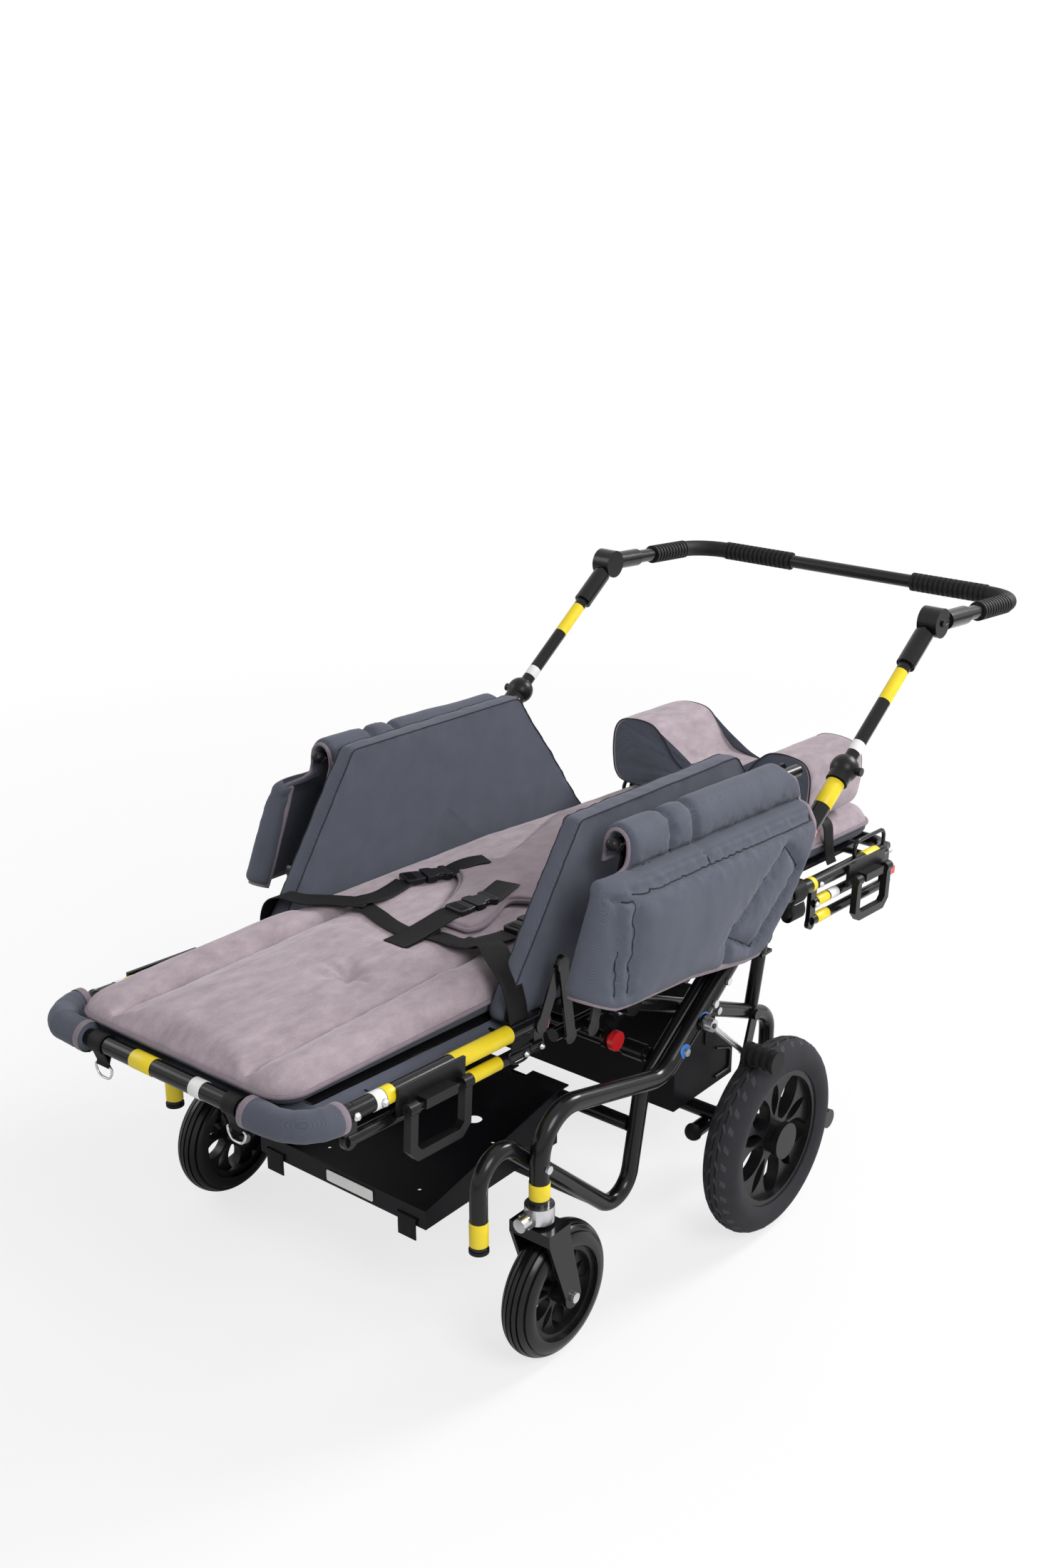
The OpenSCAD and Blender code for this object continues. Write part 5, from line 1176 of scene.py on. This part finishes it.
def skirt_line(half, end, corner):
    """One edge of the sling: along the left rail, round the foot end and back along the right rail."""
    side = [(half, v) for v in np.linspace(SKIRT_REAR, end + corner, 34)]
    turn = [(half - corner + corner * math.cos(a), end + corner - corner * math.sin(a))
            for a in np.linspace(0, math.pi / 2, 14)[1:-1]]
    foot = [(x, end) for x in np.linspace(half - corner, 0, 22)]
    left = side + turn + foot
    return left + [(-x, v) for x, v in reversed(left[:-1])]


def make_skirt():
    inner, outer = skirt_line(*SKIRT_IN), skirt_line(*SKIRT_OUT)
    nv = 10
    top, low = [], []
    for (x0, v0), (x1, v1) in zip(inner, outer):
        for k in range(nv + 1):
            t = k / nv
            x, v = x0 + (x1 - x0) * t, v0 + (v1 - v0) * t
            full = math.sin(math.pi * t)
            w = 4.5 - 3.5 * t - 6 * full + 1000 * wrinkle((x / 1000, v / 1000, 0.3), 26, 0.0035) * full
            top.append(bed(x, v, w + 2.5 * full ** 0.5))
            low.append(bed(x, v, w - 2.5 * full ** 0.5))
    obj, _ = shell("leg_base_cloth", top, low, len(inner) - 1, nv, CLOTH)
    finish_piece(obj, "leg_section", finer=True)


# Small parts at the bed, the tray and the head end. Nuts: name, body, size and points across, along and up.
NUTS = (
    ("leg_nut_{}_{}", "leg_section", 6, ((257.2, -520, 0), (257.2, -470, 0))),
    ("leg_rear_nut_{}_{}", "leg_section", 5, ((254.2, -184, -36), (254.2, -150, -36))),
    ("back_nut_{}_{}", "back", 5.5, ((257.2, 840, 0), (257.2, 600, 0), (254.4, 596, -36), (254.4, 850, -36),
                                     (254.4, 850, -60))),
    ("seat_lug_bolt_{}", "seat", 7, ((264.3, 20, -36),)),
)
NUT_FORM = [(1, 0.5), (0.86, 0.56), (0.72, 0.9), (0.4, 1.12), (0, 1.18)]
# Webbing of the back, tight round its two rails and at the corner of the pad: across, height, direction out and up.
BACK_LOOP = [(251, -18, 1, 0), (258.8, -3, 1, 0), (255.4, 10, 0.7, 0.7), (245, 14.4, 0, 1), (234.6, 10, -0.7, 0.7),
             (231.2, -3, -1, 0), (239, -18, -1, 0), (234.2, -34, -1, 0), (237.6, -45, -0.7, -0.7), (245, -48, 0, -1),
             (252.4, -45, 0.7, -0.7), (255.8, -34, 1, 0), (252, -20, 1, 0)]
CORNER_STRAP = [(168, 76.5, 0, 1), (190, 76, 0, 1), (203, 66, 1, 1), (208, 40, 1, 0), (212, 14, 1, 0), (218, 0, 1, 0)]
LEG_TAB = [(-10, -8), (8, -8), (11, 0), (8, 8), (-10, 8)]
# Webbing over the lip of the tray: past and above the lip, then the direction along and up.
LIP_Y, LIP_Z = -299.6, 165
TRAY_STRAP = [(12, 4.4, 0, 1), (5, 8.6, -0.4, 1), (-1.6, 11, -1, 0.3), (-2.2, 4, -1, 0), (-2.4, -6, -1, 0),
              (-2.2, -22, -1, 0)]


def make_hardware():
    for s, name in SIDES:
        out = Vector((s, 0, 0))
        for form, body, size, places in NUTS:
            profile = [(size, -0.4)] + [(size * r, size * h) for r, h in NUT_FORM]
            for k, (x, v, w) in enumerate(places):
                nut = lathe(form.format(name, k), bed(s * x, v, w), out, profile, ZINC, 6)
                finish_piece(nut, body)
        tab = plate_form("back_tab_" + name, bed(s * 256, 862, -44), BED_ALONG, out, rectangle(9, 7), 3, RED)
        finish_piece(tab, "back")
        tab = plate_form("leg_tab_" + name, bed(s * 258, -150, -2), BED_ALONG, out, LEG_TAB, 2.6, RED)
        finish_piece(tab, "leg_section")
        for kind, v, width, points in (("back_loop_", 536, 0.042, BACK_LOOP),
                                       ("corner_strap_", 706, 0.03, CORNER_STRAP)):
            path = [(bed(s * x, v, w), out * a + BED_UP * b) for x, w, a, b in points]
            finish_piece(strap(kind + name, path, width), "back")
    for k, x in enumerate((-132.8, 132.8)):
        path = [(work(x, LIP_Y + y, LIP_Z + z), Vector((0, a, b))) for y, z, a, b in TRAY_STRAP]
        finish_piece(strap(f"tray_strap_{k}", path, 0.034), "chassis")
    outline = rounded_outline(rectangle(46, 9), (2, 2, 2, 2), 3).tolist()
    place = work(20, LIP_Y - 0.9, LIP_Z + 15)
    finish_piece(plate_form("tray_label", place, (1, 0, 0), (0, -1, 0), outline, 1.0, WHITE, 0.0002), "chassis")


# Raised tread on the rear tyres: corners of a block as share of the pitch and distance from the middle.
TYRE_R, TYRE_HALF = 156.0, 28.5
TYRE_PLACE = (393, 235, 156)
TREAD_COUNT = 34
TREAD_LIFT = (-1.0, 0.55)
TREAD_BLOCKS = ([(0.0, 3.2), (0.36, 9.5), (0.6, 9.5), (0.24, 3.2)],
                [(0.05, 12.5), (0.3, 19.5), (0.62, 19.5), (0.4, 12.5)])


def make_treads():
    tyre_x, tyre_y, tyre_z = TYRE_PLACE
    one = skin(2, 4)
    for s, name in SIDES:
        verts, faces = [], []
        # The blocks of the other half stand half a pitch on.
        for k in range(TREAD_COUNT):
            for m, shift in ((1, 0.0), (-1, 0.5)):
                for block in TREAD_BLOCKS:
                    faces += [tuple(len(verts) + i for i in face) for face in one]
                    for lift in TREAD_LIFT:
                        for turn, x in block:
                            a = 2 * math.pi * (k + turn + shift) / TREAD_COUNT
                            r = TYRE_R - TYRE_HALF + math.sqrt(TYRE_HALF ** 2 - x ** 2) + lift
                            verts.append(work(s * tyre_x + m * x, tyre_y + r * math.cos(a), tyre_z + r * math.sin(a)))
        tread = mesh_object("rear_tread_" + name, verts, faces, TREAD, smooth=False)
        finish_piece(tread, "rear_wheel_" + name)


dress_frame()
make_pad()
make_cushions()
make_headrest()
make_panels()
make_vest()
make_straps()
make_bands()
make_foot_sleeves()
make_skirt()
make_hardware()
make_treads()
